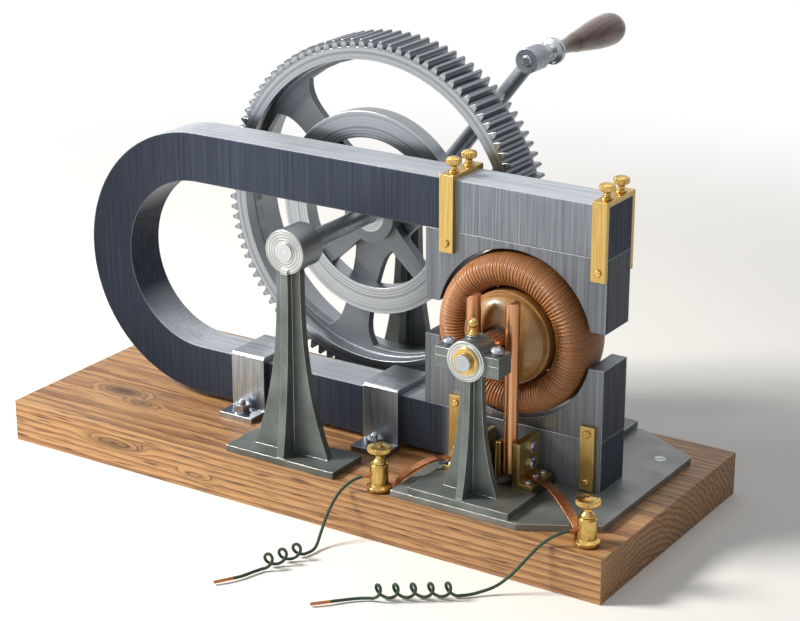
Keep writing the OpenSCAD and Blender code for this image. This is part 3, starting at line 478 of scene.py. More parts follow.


# Pole shoes
# Two blocks of soft iron on the inner faces of the magnet's legs, planed, and bored together round the ring.
# Their ends and the steeper parts of the bore are painted dark as shade, in a tone like the ends of the magnet
# above and below them.

# The planed colours are full before the block begins, so that they cover its whole side.
PLANED_FADE_M = 0.01
PLANED_COLOURS = ("#6b7077", "#858a91")
shoe_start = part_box("upper_pole_shoe")[0].x
pole_iron = ground_metal(
    "planed_pole_iron",
    # These dark colours are painted shade. They stay only on the ends and on the steeper parts of the bore.
    colour="#4c515a",
    shade="#3c414a",
    bright="#b4b9bf",
    mark_mm=1.6,
    stretch=0.012,
    roughness=0.42,
    ease_mm=1.0,
    edge_colours=PLANED_COLOURS,
    zones=((shoe_start - PLANED_FADE_M, shoe_start, *PLANED_COLOURS),),
)
dress(pole_iron, "upper_pole_shoe", "lower_pole_shoe")


# Saddles and packing
# Two bands of mild steel bent over the lower leg, each bolted down through its two feet, over beech packing.
# The steel is left bright from the rolls.

saddle_steel = ground_metal(
    "rolled_saddle_steel",
    colour="#aeb4ba",
    shade="#838a92",
    bright="#d3d7da",
    mark_mm=1.8,
    stretch=0.04,
    roughness=0.34,
    ease_mm=1.0,
)
dress(saddle_steel, "magnet_saddle_left", "magnet_saddle_right")

# Beech packing: pale brown with short dark flecks along the grain, oiled dull.
packing_wood = empty_material("oiled_beech")
packing_place = add(packing_wood, "ShaderNodeTexCoord").outputs["Object"]
packing_grain = add(
    packing_wood, "ShaderNodeMapping", {"Vector": packing_place, "Scale": (0.08, 1.0, 1.0)}
).outputs[0]
fleck = add(
    packing_wood, "ShaderNodeTexNoise", {"Vector": packing_grain, "Scale": per_mm(1.6), "Detail": 3.0}
).outputs[0]
packing_colour = add(
    packing_wood, "ShaderNodeMix", {0: fleck, 6: linear("#a97b4b"), 7: linear("#5e3c20")}, data_type="RGBA"
).outputs[2]
packing_normal = add(
    packing_wood, "ShaderNodeBump", {"Strength": 0.2, "Distance": 0.0002, "Height": fleck}
).outputs[0]
packing_shader = add(
    packing_wood,
    "ShaderNodeBsdfPrincipled",
    {"Base Color": packing_colour, "Roughness": 0.6, "Normal": packing_normal},
).outputs[0]
add(packing_wood, "ShaderNodeOutputMaterial", {"Surface": packing_shader})
dress(packing_wood, "magnet_packing")


# Brass straps, tie plates and brush brackets
# Strips of sheet brass, bent over the upper leg and laid flat beside the lower one, held by screws.
# Brass angle carries the brushes: it is the same rolled metal, brushed and lacquered.

strap_brass = ground_metal(
    "brushed_brass_strip",
    colour="#cdb06e",
    shade="#bb9b58",
    bright="#ecdcae",
    mark_mm=0.9,
    stretch=0.03,
    roughness=0.3,
    ease_mm=0.7,
)
dress(strap_brass, "pole_strap_left", "pole_strap_right", "tie_plates_left", "tie_plates_right")
dress(strap_brass, "brush_bracket_left", "brush_bracket_right", "brush_jaws")


# Bearing bushes, oil cups, terminal posts and small screws of brass
# Bar brass turned on the lathe and left polished, a little darker where hands and oil have dulled it.

turned_brass = empty_material("polished_turned_brass")
brass_place = add(turned_brass, "ShaderNodeTexCoord").outputs["Object"]
tarnish = add(
    turned_brass, "ShaderNodeTexNoise", {"Vector": brass_place, "Scale": per_mm(9), "Detail": 4.0}
).outputs[0]
# Lathe marks are far finer than a pixel, so they are drawn 0.9 mm apart up the height of the piece.
brass_height = add(
    turned_brass, "ShaderNodeMapping", {"Vector": brass_place, "Scale": (0.1, 0.1, 1.0)}
).outputs[0]
brass_lines = add(
    turned_brass, "ShaderNodeTexNoise", {"Vector": brass_height, "Scale": per_mm(0.9), "Detail": 1.0}
).outputs[0]
dull = add(
    turned_brass, "ShaderNodeMapRange", {"Value": tarnish, "From Min": 0.45, "From Max": 0.75}
).outputs[0]
brass_eased, brass_edge = worn_edges(turned_brass, radius_mm=0.4)
brass_toned = add(
    turned_brass, "ShaderNodeMix", {0: dull, 6: linear("#d2b068"), 7: linear("#a08044")}, data_type="RGBA"
).outputs[2]
brass_colour = add(
    turned_brass, "ShaderNodeMix", {0: brass_edge, 6: brass_toned, 7: linear("#ecd69c")}, data_type="RGBA"
).outputs[2]
brass_rough = add(
    turned_brass, "ShaderNodeMapRange", {"Value": dull, "To Min": 0.2, "To Max": 0.38}
).outputs[0]
brass_normal = add(
    turned_brass,
    "ShaderNodeBump",
    {"Strength": 0.08, "Distance": 0.0002, "Height": brass_lines, "Normal": brass_eased},
).outputs[0]
brass_shader = add(
    turned_brass,
    "ShaderNodeBsdfPrincipled",
    {"Base Color": brass_colour, "Metallic": 1.0, "Roughness": brass_rough, "Normal": brass_normal},
).outputs[0]
add(turned_brass, "ShaderNodeOutputMaterial", {"Surface": brass_shader})
dress(turned_brass, "strap_side_screws", "tie_plate_screws", "bearing_bush_front", "bearing_bush_rear")
dress(turned_brass, "oil_cups", "terminal_post_left", "terminal_post_right")


# Thumb screws of the straps
# Four brass thumb screws with milled heads, turned from bar, which press the straps down on the upper leg.
# Each is one lathe profile, and its head is cut with fine upright grooves.

MERGE_M = 0.00002
SMOOTH_ANGLE = math.radians(32)
THUMB_APART_M = 0.024
THUMB_GROOVES = 26
# Radius and height over the strap.
THUMB_PROFILE_MM = (
    (0.0, -11.0), (2.5, -11.0), (2.5, 0.0), (4.6, 0.0), (4.6, 1.2), (4.2, 1.7), (3.1, 2.5), (2.8, 3.6),
    (2.9, 5.0), (4.0, 6.3), (5.9, 6.9), (6.6, 7.7), (6.6, 10.7), (6.2, 11.5), (5.4, 12.0), (3.4, 12.7),
    (1.6, 13.1), (0.0, 13.2),
)


def turned_piece(name, profile_mm, foot, axis, steps):
    """A piece turned on a lathe: one vertex is drawn out along the profile and spun round the axis."""
    bpy.ops.object.select_all(action="DESELECT")
    bpy.ops.mesh.primitive_plane_add(size=0.002, location=(0, 0, 0))
    piece = bpy.context.object
    piece.name = piece.data.name = name
    across = Vector((1, 0, 0))
    along = Vector(axis)
    points = [Vector(foot) + across * (r / 1000) + along * (h / 1000) for r, h in profile_mm]
    bpy.ops.object.mode_set(mode="EDIT")
    bpy.ops.mesh.select_all(action="SELECT")
    bpy.ops.mesh.merge(type="CENTER")
    bpy.ops.mesh.select_all(action="SELECT")
    bpy.ops.transform.translate(value=points[0])
    for start, end in zip(points, points[1:]):
        bpy.ops.mesh.extrude_region_move(TRANSFORM_OT_translate={"value": end - start})
    bpy.ops.mesh.select_all(action="SELECT")
    bpy.ops.mesh.spin(steps=steps, angle=2 * math.pi, center=foot, axis=axis)
    bpy.ops.mesh.select_all(action="SELECT")
    bpy.ops.mesh.remove_doubles(threshold=MERGE_M)
    bpy.ops.mesh.normals_make_consistent(inside=False)
    bpy.ops.object.mode_set(mode="OBJECT")
    bpy.ops.object.shade_smooth_by_angle(angle=SMOOTH_ANGLE)
    return piece


def mill_head(piece, foot, low_mm, high_mm, rim_mm, grooves, left):
    """Cuts upright grooves into the rim of a turned head: every second line of its vertices is drawn inwards,
    to the share of its radius that is left."""
    for vertex in piece.data.vertices:
        away = vertex.co - Vector(foot)
        radius = math.hypot(away.x, away.y) * 1000
        step = round(math.atan2(away.y, away.x) / (2 * math.pi) * grooves * 2)
        vertex.select = low_mm <= away.z * 1000 <= high_mm and radius > rim_mm and step % 2 == 1
    for polygon in piece.data.polygons:
        polygon.select = False
    for edge in piece.data.edges:
        edge.select = False
    bpy.ops.object.mode_set(mode="EDIT")
    bpy.ops.mesh.select_mode(type="VERT")
    bpy.ops.transform.resize(value=(left, left, 1.0), center_override=foot)
    bpy.ops.object.mode_set(mode="OBJECT")
    bpy.ops.object.shade_smooth_by_angle(angle=SMOOTH_ANGLE)


def set_finish(piece, material, body):
    """Gives a new piece its material and its body."""
    piece.data.materials.clear()
    piece.data.materials.append(material)
    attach(piece, body)


thumb_feet = []
for strap in ("pole_strap_left", "pole_strap_right"):
    strap_low, strap_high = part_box(strap)
    for side in (-0.5, 0.5):
        thumb_y = (magnet_low.y + magnet_high.y) / 2 + side * THUMB_APART_M
        thumb_feet.append(Vector(((strap_low.x + strap_high.x) / 2, thumb_y, strap_high.z)))
first_thumb = turned_piece(
    "strap_thumb_1", THUMB_PROFILE_MM, foot=thumb_feet[0], axis=(0, 0, 1), steps=2 * THUMB_GROOVES
)
mill_head(first_thumb, thumb_feet[0], low_mm=7.5, high_mm=11.0, rim_mm=6.0, grooves=THUMB_GROOVES, left=0.9)
thumbs = [first_thumb]
for number, foot in enumerate(thumb_feet[1:], start=2):
    bpy.ops.object.select_all(action="DESELECT")
    first_thumb.select_set(True)
    bpy.context.view_layer.objects.active = first_thumb
    bpy.ops.object.duplicate()
    copy = bpy.context.object
    copy.name = copy.data.name = f"strap_thumb_{number}"
    bpy.ops.transform.translate(value=foot - thumb_feet[0])
    bpy.ops.object.transform_apply(location=True, rotation=False, scale=False)
    thumbs.append(copy)
for thumb in thumbs:
    set_finish(thumb, turned_brass, "stand")
    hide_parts("strap_thumb_screws")


# Brushes and copper strips
# The brushes are rods of drawn copper, cut slantwise at the top, with straight lines from the draw plate.
# The strips are rolled copper that runs from the bracket feet to the terminals.

brush_copper = ground_metal(
    "drawn_brush_copper",
    colour="#dca77e",
    shade="#b87f57",
    bright="#f0cdb0",
    mark_mm=0.9,
    stretch=0.006,
    roughness=0.27,
    ease_mm=0.5,
)
dress(brush_copper, "brush_left", "brush_right")

strip_copper = ground_metal(
    "rolled_copper_strip",
    colour="#c07f50",
    shade="#8f5631",
    bright="#e0ad84",
    mark_mm=1.4,
    stretch=0.06,
    roughness=0.33,
    ease_mm=0.5,
)
dress(strip_copper, "copper_strip_left", "copper_strip_right")


# Ebonite pads and commutator sleeve
# Hard black rubber, sawn and polished, which keeps the brackets and the commutator bars apart from the iron.

ebonite = empty_material("polished_ebonite")
ebonite_place = add(ebonite, "ShaderNodeTexCoord").outputs["Object"]
ebonite_haze = add(
    ebonite, "ShaderNodeTexNoise", {"Vector": ebonite_place, "Scale": per_mm(12), "Detail": 4.0}
).outputs[0]
# Saw marks are drawn 0.8 mm across, coarser than real ones, so that they show.
ebonite_saw = add(
    ebonite, "ShaderNodeTexNoise", {"Vector": ebonite_place, "Scale": per_mm(0.8), "Detail": 2.0}
).outputs[0]
ebonite_eased, ebonite_edge = worn_edges(ebonite, radius_mm=0.6)
ebonite_body = add(
    ebonite, "ShaderNodeMix", {0: ebonite_haze, 6: linear("#1b1715"), 7: linear("#352b25")}, data_type="RGBA"
).outputs[2]
ebonite_colour = add(
    ebonite, "ShaderNodeMix", {0: ebonite_edge, 6: ebonite_body, 7: linear("#5a4a3e")}, data_type="RGBA"
).outputs[2]
ebonite_rough = add(
    ebonite, "ShaderNodeMapRange", {"Value": ebonite_haze, "To Min": 0.3, "To Max": 0.5}
).outputs[0]
ebonite_normal = add(
    ebonite,
    "ShaderNodeBump",
    {"Strength": 0.08, "Distance": 0.0002, "Height": ebonite_saw, "Normal": ebonite_eased},
).outputs[0]
ebonite_shader = add(
    ebonite,
    "ShaderNodeBsdfPrincipled",
    {"Base Color": ebonite_colour, "Roughness": ebonite_rough, "Normal": ebonite_normal, "IOR": 1.6},
).outputs[0]
add(ebonite, "ShaderNodeOutputMaterial", {"Surface": ebonite_shader})
dress(ebonite, "bracket_pads", "commutator_sleeve")


# Terminal screws
# Two brass thumb screws that close on the leads in the terminal posts, turned from bar with milled heads.
# Each turns on its own body.

CLAMP_GROOVES = 40
# Radius and height over the table.
CLAMP_PROFILE_MM = (
    (0.0, 52.6), (3.0, 52.6), (3.0, 62.3), (6.0, 62.3), (6.0, 63.5), (5.2, 64.8), (3.7, 66.2), (3.2, 67.6),
    (3.3, 68.9), (5.3, 71.2), (9.0, 72.3), (10.0, 73.4), (10.0, 76.2), (9.4, 77.0), (7.4, 77.5), (4.2, 77.8),
    (3.0, 78.7), (0.0, 79.1),
)
for side in ("left", "right"):
    terminal = joint_place(f"clamp_{side}_turn")
    terminal.z = 0.0
    clamp = turned_piece(
        f"terminal_clamp_{side}", CLAMP_PROFILE_MM, foot=terminal, axis=(0, 0, 1), steps=2 * CLAMP_GROOVES
    )
    mill_head(clamp, terminal, low_mm=73.2, high_mm=76.4, rim_mm=9.3, grooves=CLAMP_GROOVES, left=0.93)
    set_finish(clamp, turned_brass, f"clamp_screw_{side}")
    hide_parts(f"terminal_screw_{side}")


# Leads
# Two short lengths of stiff copper wire under a spun covering, clamped in the terminals and bent downwards.
# Each was wound round a pencil to a few curls, and ends bare.

LEAD_MM = 2.6
CURL_MM = 5.6
ROUTE_STEPS = 4
CURL_STEPS = 16
BARE_IN_CLAMP_MM = 14
BARE_TIP_MM = 16
LEAD_ROUTES_MM = {
    "left": {
        "down": (
            (85, -106, 51), (77, -112, 51), (68, -121, 47.5), (61, -131, 38), (58, -142, 24), (58, -152, 11),
            (60, -161, 4), (61, -169, 2),
        ),
        "curls": ((59, -178, 2), (46, -218, 2)),
        "count": 3,
        "lean": 33,
        "tail": ((43, -227, 2), (40, -237, 2), (35, -247, 2.4), (28, -257, 2)),
    },
    "right": {
        "down": (
            (277, -104, 51), (269, -111, 51), (260, -119, 48.5), (250, -127, 41), (241, -134, 29),
            (232, -142, 16), (223, -150, 7), (214, -159, 3), (208, -166, 2),
        ),
        "curls": ((201, -173, 2), (146, -213, 2)),
        "count": 5,
        "lean": 0,
        "tail": ((139, -218, 2), (130, -227, 2), (122, -237, 2.4), (113, -246, 2)),
    },
}


def smooth_route(points, steps):
    """A smooth line through the points, with this many steps between each two."""
    points = [Vector(p) for p in points]
    line = []
    for i in range(len(points) - 1):
        a, b, c, d = points[max(i - 1, 0)], points[i], points[i + 1], points[min(i + 2, len(points) - 1)]
        slope, bend, twist = c - a, 2 * a - 5 * b + 4 * c - d, 3 * b - a - 3 * c + d
        for j in range(steps):
            t = j / steps
            line.append(0.5 * (2 * b + slope * t + bend * t**2 + twist * t**3))
    return line + [points[-1]]


def pencil_curls(start, end, count, lean, steps):
    """Curls that roll along the table from start to end, leaning by an angle seen from above."""
    start, end = Vector(start), Vector(end)
    side = Vector((math.cos(math.radians(lean)), math.sin(math.radians(lean)), 0))
    up = Vector((0, 0, 1))
    line = []
    for i in range(count * steps + 1):
        t = i / (count * steps)
        w = 2 * math.pi * count * t
        line.append(
            start + (end - start) * t - side * CURL_MM * math.sin(w) + up * CURL_MM * (1 - math.cos(w))
        )
    return line


def lead_covering(name, clamp_end, free_end, length_m):
    """Spun cotton over copper: fine slanting threads, with bare copper at both ends."""
    cotton = empty_material(name)
    coords = add(cotton, "ShaderNodeTexCoord").outputs
    parts = add(cotton, "ShaderNodeSeparateXYZ", {0: coords["UV"]}).outputs
    # One thread in 0.9 mm of wire is coarser than real cotton, so that it shows.
    along = add(
        cotton, "ShaderNodeMath", {0: parts["X"], 1: length_m * per_mm(0.9)}, operation="MULTIPLY"
    ).outputs[0]
    slant = add(cotton, "ShaderNodeMath", {0: along, 1: parts["Y"]}, operation="ADD").outputs[0]
    turn = add(cotton, "ShaderNodeMath", {0: slant, 1: 2 * math.pi}, operation="MULTIPLY").outputs[0]
    thread = add(cotton, "ShaderNodeMath", {0: turn}, operation="SINE").outputs[0]
    furrow = add(
        cotton, "ShaderNodeMapRange", {"Value": thread, "From Min": -1.0, "From Max": 1.0}
    ).outputs[0]
    soil = add(
        cotton, "ShaderNodeTexNoise", {"Vector": coords["Object"], "Scale": per_mm(11), "Detail": 3.0}
    ).outputs[0]
    dyed = add(
        cotton, "ShaderNodeMix", {0: soil, 6: linear("#4f6a52"), 7: linear("#2f4638")}, data_type="RGBA"
    ).outputs[2]
    spun = add(
        cotton, "ShaderNodeMix", {0: furrow, 6: linear("#22332a"), 7: dyed}, data_type="RGBA"
    ).outputs[2]
    ends = []
    for end, reach_mm in ((clamp_end, BARE_IN_CLAMP_MM), (free_end, BARE_TIP_MM)):
        away = add(
            cotton, "ShaderNodeVectorMath", {0: coords["Object"], 1: end}, operation="DISTANCE"
        ).outputs["Value"]
        ends.append(
            add(cotton, "ShaderNodeMath", {0: away, 1: reach_mm / 1000}, operation="LESS_THAN").outputs[0]
        )
    bare = add(cotton, "ShaderNodeMath", {0: ends[0], 1: ends[1]}, operation="MAXIMUM").outputs[0]
    colour = add(
        cotton, "ShaderNodeMix", {0: bare, 6: spun, 7: linear("#b9774a")}, data_type="RGBA"
    ).outputs[2]
    rough = add(cotton, "ShaderNodeMapRange", {"Value": bare, "To Min": 0.8, "To Max": 0.3}).outputs[0]
    normal = add(cotton, "ShaderNodeBump", {"Strength": 0.4, "Distance": 0.0003, "Height": furrow}).outputs[0]
    shader = add(
        cotton,
        "ShaderNodeBsdfPrincipled",
        {"Base Color": colour, "Metallic": bare, "Roughness": rough, "Normal": normal},
    ).outputs[0]
    add(cotton, "ShaderNodeOutputMaterial", {"Surface": shader})
    return cotton


for side, route in LEAD_ROUTES_MM.items():
    line = smooth_route((*route["down"], route["curls"][0]), ROUTE_STEPS)
    line += pencil_curls(*route["curls"], route["count"], route["lean"], CURL_STEPS)[1:]
    line += smooth_route((route["curls"][1], *route["tail"]), ROUTE_STEPS)[1:]
    line = [point / 1000 for point in line]
    wire = bpy.data.curves.new(f"lead_wire_{side}", "CURVE")
    wire.dimensions = "3D"
    wire.bevel_depth = LEAD_MM / 2000
    wire.bevel_resolution = 3
    wire.use_fill_caps = True
    spline = wire.splines.new("POLY")
    spline.points.add(len(line) - 1)
    for point, spot in zip(spline.points, line):
        point.co = (*spot, 1.0)
    spline.use_smooth = True
    lead = bpy.data.objects.new(f"lead_wire_{side}", wire)
    bpy.context.scene.collection.objects.link(lead)
    lead_length = sum((b - a).length for a, b in zip(line, line[1:]))
    wire.materials.append(lead_covering(f"cotton_covered_lead_{side}", line[0], line[-1], lead_length))
    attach(lead, "stand")
    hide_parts(f"lead_{side}")


# Shafts, handle spindle and pinion
# Bright drawn steel, turned on its ends, running in the bosses and bushes. The pinion is cut from steel too.
# The marks go round the axis of each piece.


def turned_metal(name, colour, shade, bright, axis, mark_mm, roughness, ease_mm, depth_share=1.0):
    """Metal turned round an axis along Y: rings on its faces, and lines round its sides unless depth_share
    is 0."""
    steel = empty_material(name)
    place = add(steel, "ShaderNodeTexCoord").outputs["Object"]
    radius = axis_distance(steel, place, axis)
    depth = add(steel, "ShaderNodeSeparateXYZ", {0: place}).outputs["Y"]
    stepped = add(steel, "ShaderNodeMath", {0: depth, 1: depth_share}, operation="MULTIPLY").outputs[0]
    # Lathe marks are drawn as coarse as mark_mm, so that they show.
    lathe = add(steel, "ShaderNodeCombineXYZ", {"X": radius, "Y": stepped}).outputs[0]
    marks = add(
        steel, "ShaderNodeTexNoise", {"Vector": lathe, "Scale": per_mm(mark_mm), "Detail": 2.0}
    ).outputs[0]
    line = add(steel, "ShaderNodeMapRange", {"Value": marks, "From Min": 0.35, "From Max": 0.65}).outputs[0]
    cloud = add(steel, "ShaderNodeTexNoise", {"Vector": place, "Scale": per_mm(30), "Detail": 4.0}).outputs[0]
    veil = add(
        steel, "ShaderNodeMapRange", {"Value": cloud, "From Min": 0.45, "From Max": 0.8, "To Max": 0.3}
    ).outputs[0]
    tint = add(
        steel, "ShaderNodeMix", {0: line, 6: linear(shade), 7: linear(colour)}, data_type="RGBA"
    ).outputs[2]
    toned = add(steel, "ShaderNodeMix", {0: veil, 6: tint, 7: linear(shade)}, data_type="RGBA").outputs[2]
    eased, edge = worn_edges(steel, ease_mm)
    skin = add(steel, "ShaderNodeMix", {0: edge, 6: toned, 7: linear(bright)}, data_type="RGBA").outputs[2]
    gloss = add(
        steel, "ShaderNodeMapRange", {"Value": line, "To Min": roughness + 0.04, "To Max": roughness - 0.02}
    ).outputs[0]
    normal = add(
        steel, "ShaderNodeBump", {"Strength": 0.03, "Distance": 0.0003, "Height": line, "Normal": eased}
    ).outputs[0]
    shader = add(
        steel,
        "ShaderNodeBsdfPrincipled",
        {"Base Color": skin, "Metallic": 1.0, "Roughness": gloss, "Normal": normal},
    ).outputs[0]
    add(steel, "ShaderNodeOutputMaterial", {"Surface": shader})
    return steel


handle_axis = joint_place("grip_spin")
gear_shaft_steel = turned_metal(
    "bright_gear_shaft",
    colour="#c9cdd2",
    shade="#b6bbc1",
    bright="#dde0e3",
    axis=gear_axis,
    mark_mm=1.3,
    roughness=0.36,
    ease_mm=0.5,
)
spindle_steel = turned_metal(
    "bright_handle_spindle",
    colour="#b9bec4",
    shade="#a3a9b0",
    bright="#dde0e3",
    axis=handle_axis,
    mark_mm=1.3,
    roughness=0.26,
    ease_mm=0.5,
)
armature_steel = turned_metal(
    "bright_armature_shaft",
    colour="#b9bec4",
    shade="#a3a9b0",
    bright="#dde0e3",
    axis=armature_axis,
    mark_mm=1.2,
    roughness=0.26,
    ease_mm=0.4,
)
pinion_steel = turned_metal(
    "cut_pinion_steel",
    colour="#a4aab1",
    shade="#757c85",
    bright="#dadde0",
    axis=armature_axis,
    mark_mm=1.6,
    roughness=0.3,
    ease_mm=0.5,
    depth_share=0.0,
)
dress(gear_shaft_steel, "gear_shaft")
dress(spindle_steel, "handle_spindle")
dress(armature_steel, "armature_shaft")
dress(pinion_steel, "pinion")


# Crank arm
# A forged steel arm with a boss and an eye, filed along its length and rubbed bright on the edges.
# The boss is pinned on the gear shaft, and the handle's spindle is riveted in the eye.

# File marks are drawn this far apart, coarser than real ones, so that they show.
FILE_MARK_MM = 1.2
crank_lean = math.atan2(handle_axis.z - gear_axis.z, handle_axis.x - gear_axis.x)
crank_steel = empty_material("filed_crank_steel")
crank_place = add(crank_steel, "ShaderNodeTexCoord").outputs["Object"]
crank_turned = add(
    crank_steel, "ShaderNodeMapping", {"Vector": crank_place, "Rotation": (0, crank_lean, 0)}
).outputs[0]
crank_drawn = add(
    crank_steel, "ShaderNodeMapping", {"Vector": crank_turned, "Scale": (0.03, 1, 1)}
).outputs[0]
crank_marks = add(
    crank_steel, "ShaderNodeTexNoise", {"Vector": crank_drawn, "Scale": per_mm(FILE_MARK_MM), "Detail": 3.0}
).outputs[0]
crank_patch = add(
    crank_steel, "ShaderNodeTexNoise", {"Vector": crank_place, "Scale": per_mm(24), "Detail": 3.0}
).outputs[0]
crank_line = add(
    crank_steel, "ShaderNodeMapRange", {"Value": crank_marks, "From Min": 0.35, "From Max": 0.65}
).outputs[0]
crank_filed = add(
    crank_steel,
    "ShaderNodeMix",
    {0: crank_line, 6: linear("#878e97"), 7: linear("#a7adb4")},
    data_type="RGBA",
).outputs[2]
crank_veil = add(
    crank_steel,
    "ShaderNodeMapRange",
    {"Value": crank_patch, "From Min": 0.45, "From Max": 0.8, "To Max": 0.2},
).outputs[0]
crank_toned = add(
    crank_steel, "ShaderNodeMix", {0: crank_veil, 6: crank_filed, 7: linear("#6f7680")}, data_type="RGBA"
).outputs[2]
crank_eased, crank_edge = worn_edges(crank_steel, radius_mm=0.8)
crank_colour = add(
    crank_steel, "ShaderNodeMix", {0: crank_edge, 6: crank_toned, 7: linear("#d6dadd")}, data_type="RGBA"
).outputs[2]
crank_gloss = add(
    crank_steel, "ShaderNodeMapRange", {"Value": crank_line, "To Min": 0.42, "To Max": 0.28}
).outputs[0]
crank_normal = add(
    crank_steel,
    "ShaderNodeBump",
    {"Strength": 0.1, "Distance": 0.0003, "Height": crank_line, "Normal": crank_eased},
).outputs[0]
crank_shader = add(
    crank_steel,
    "ShaderNodeBsdfPrincipled",
    {"Base Color": crank_colour, "Metallic": 1.0, "Roughness": crank_gloss, "Normal": crank_normal},
).outputs[0]
add(crank_steel, "ShaderNodeOutputMaterial", {"Surface": crank_shader})
dress(crank_steel, "crank_arm")


# Drive gear and its spider
# The gear is one iron casting with three wide windows, turned on hub and rim and cut with a hundred teeth.
# The spider, a ring on four arms, is a second casting, fast on the same shaft in front of the web.

# The turned bands of each casting, from one radius to another.
GEAR_TURNED_MM = ((0.0, 27.0), (134.0, 160.0))
SPIDER_TURNED_MM = ((0.0, 15.5), (67.0, 92.0))
# Tool marks are drawn this far apart, coarser than real ones, so that they show.
GEAR_CUT_MM = 2.6


def turned_casting(name, cast, cast_shade, cut, cut_shade, bright, bands_mm):
    """Grey iron left as cast, but turned bright round the gear's axis within two bands of radius."""
    iron = empty_material(name)
    place = add(iron, "ShaderNodeTexCoord").outputs["Object"]
    radius = axis_distance(iron, place, gear_axis)
    bands = []
    for inner, outer in bands_mm:
        past = add(iron, "ShaderNodeMath", {0: radius, 1: inner / 1000}, operation="GREATER_THAN").outputs[0]
        before = add(iron, "ShaderNodeMath", {0: radius, 1: outer / 1000}, operation="LESS_THAN").outputs[0]
        bands.append(add(iron, "ShaderNodeMath", {0: past, 1: before}, operation="MULTIPLY").outputs[0])
    turned = add(iron, "ShaderNodeMath", {0: bands[0], 1: bands[1]}, operation="ADD").outputs[0]
    lathe = add(iron, "ShaderNodeCombineXYZ", {"X": radius}).outputs[0]
    marks = add(
        iron, "ShaderNodeTexNoise", {"Vector": lathe, "Scale": per_mm(GEAR_CUT_MM), "Detail": 2.0}
    ).outputs[0]
    line = add(iron, "ShaderNodeMapRange", {"Value": marks, "From Min": 0.35, "From Max": 0.65}).outputs[0]
    sand = add(
        iron, "ShaderNodeTexNoise", {"Vector": place, "Scale": per_mm(CASTING_GRAIN_MM), "Detail": 4.0}
    ).outputs[0]
    cloud = add(iron, "ShaderNodeTexNoise", {"Vector": place, "Scale": per_mm(30), "Detail": 4.0}).outputs[0]
    skin = add(
        iron, "ShaderNodeMix", {0: cloud, 6: linear(cast), 7: linear(cast_shade)}, data_type="RGBA"
    ).outputs[2]
    ring = add(
        iron, "ShaderNodeMix", {0: line, 6: linear(cut_shade), 7: linear(cut)}, data_type="RGBA"
    ).outputs[2]
    toned = add(iron, "ShaderNodeMix", {0: turned, 6: skin, 7: ring}, data_type="RGBA").outputs[2]
    eased, edge = worn_edges(iron, radius_mm=0.6)
    colour = add(iron, "ShaderNodeMix", {0: edge, 6: toned, 7: linear(bright)}, data_type="RGBA").outputs[2]
    metal = add(iron, "ShaderNodeMapRange", {"Value": turned, "To Min": 0.7, "To Max": 1.0}).outputs[0]
    rough = add(iron, "ShaderNodeMapRange", {"Value": turned, "To Min": 0.48, "To Max": 0.34}).outputs[0]
    relief = add(iron, "ShaderNodeMix", {0: turned, 2: sand, 3: line}, data_type="FLOAT").outputs[0]
    normal = add(
        iron, "ShaderNodeBump", {"Strength": 0.2, "Distance": 0.0003, "Height": relief, "Normal": eased}
    ).outputs[0]
    shader = add(
        iron,
        "ShaderNodeBsdfPrincipled",
        {"Base Color": colour, "Metallic": metal, "Roughness": rough, "Normal": normal},
    ).outputs[0]
    add(iron, "ShaderNodeOutputMaterial", {"Surface": shader})
    return iron


gear_iron = turned_casting(
    "turned_gear_iron",
    cast="#82888e",
    cast_shade="#666c73",
    cut="#a9aeb4",
    cut_shade="#7b8189",
    bright="#d0d3d6",
    bands_mm=GEAR_TURNED_MM,
)
spider_iron = turned_casting(
    "turned_spider_iron",
    cast="#8a9096",
    cast_shade="#6d737a",
    cut="#b4b9be",
    cut_shade="#858b93",
    bright="#d6d9dc",
    bands_mm=SPIDER_TURNED_MM,
)
dress(gear_iron, "drive_gear")
dress(spider_iron, "gear_spider")


# Handle grip
# A pear-shaped handle of rosewood, turned and french polished, which runs loose on the spindle.

GRIP_RADIUS_MM = 15.0
GRIP_BEAD_MM = 7.4
GRIP_WAIST_MM = 1.2
GRIP_TIP_MM = 7.8
GRIP_BORE_MM = 4.05
# The recess for the rivet at the far end: its radius and its depth.
RIVET_RADIUS_MM = 6.4
RIVET_DEPTH_MM = 5
GRIP_STEPS = 72
# The shares of the length at which the swelling starts and the rounded end starts.
SWELL_FROM = 0.06
END_FROM = 0.84
# The degrees of a sine that waist and swelling pass through in the whole length, and how full the curves are.
WAIST_DEGREES = 600
SWELL_DEGREES = 112
SWELL_POWER = 2.1
END_POWER = 2.6
grip_low, grip_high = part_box("handle_grip")
grip_length_mm = (grip_high.y - grip_low.y) * 1000


def grip_radius(u):
    """The grip's radius at a share of its length: a bead, a waist, a swelling and a rounded end."""
    bead = GRIP_BEAD_MM - GRIP_WAIST_MM * math.sin(math.radians(min(180, u * WAIST_DEGREES)))
    rise = math.sin(math.radians(min(90, max(0, u - SWELL_FROM) * SWELL_DEGREES)))
    swell = (GRIP_RADIUS_MM - GRIP_BEAD_MM) * rise**SWELL_POWER
    fall = max(0, u - END_FROM) / (1 - END_FROM)
    return bead + swell - (GRIP_RADIUS_MM - GRIP_TIP_MM) * fall**END_POWER


grip_profile = [(GRIP_BORE_MM, 0.0)]
for i in range(GRIP_STEPS + 1):
    grip_profile.append((grip_radius(i / GRIP_STEPS), grip_length_mm * i / GRIP_STEPS))
grip_profile += [(RIVET_RADIUS_MM, grip_length_mm), (RIVET_RADIUS_MM, grip_length_mm - RIVET_DEPTH_MM)]
grip_profile += [(GRIP_BORE_MM, grip_length_mm - RIVET_DEPTH_MM), (GRIP_BORE_MM, 0.0)]
grip_foot = (handle_axis.x, grip_low.y, handle_axis.z)
grip = turned_piece("rosewood_grip", grip_profile, foot=grip_foot, axis=(0, 1, 0), steps=64)

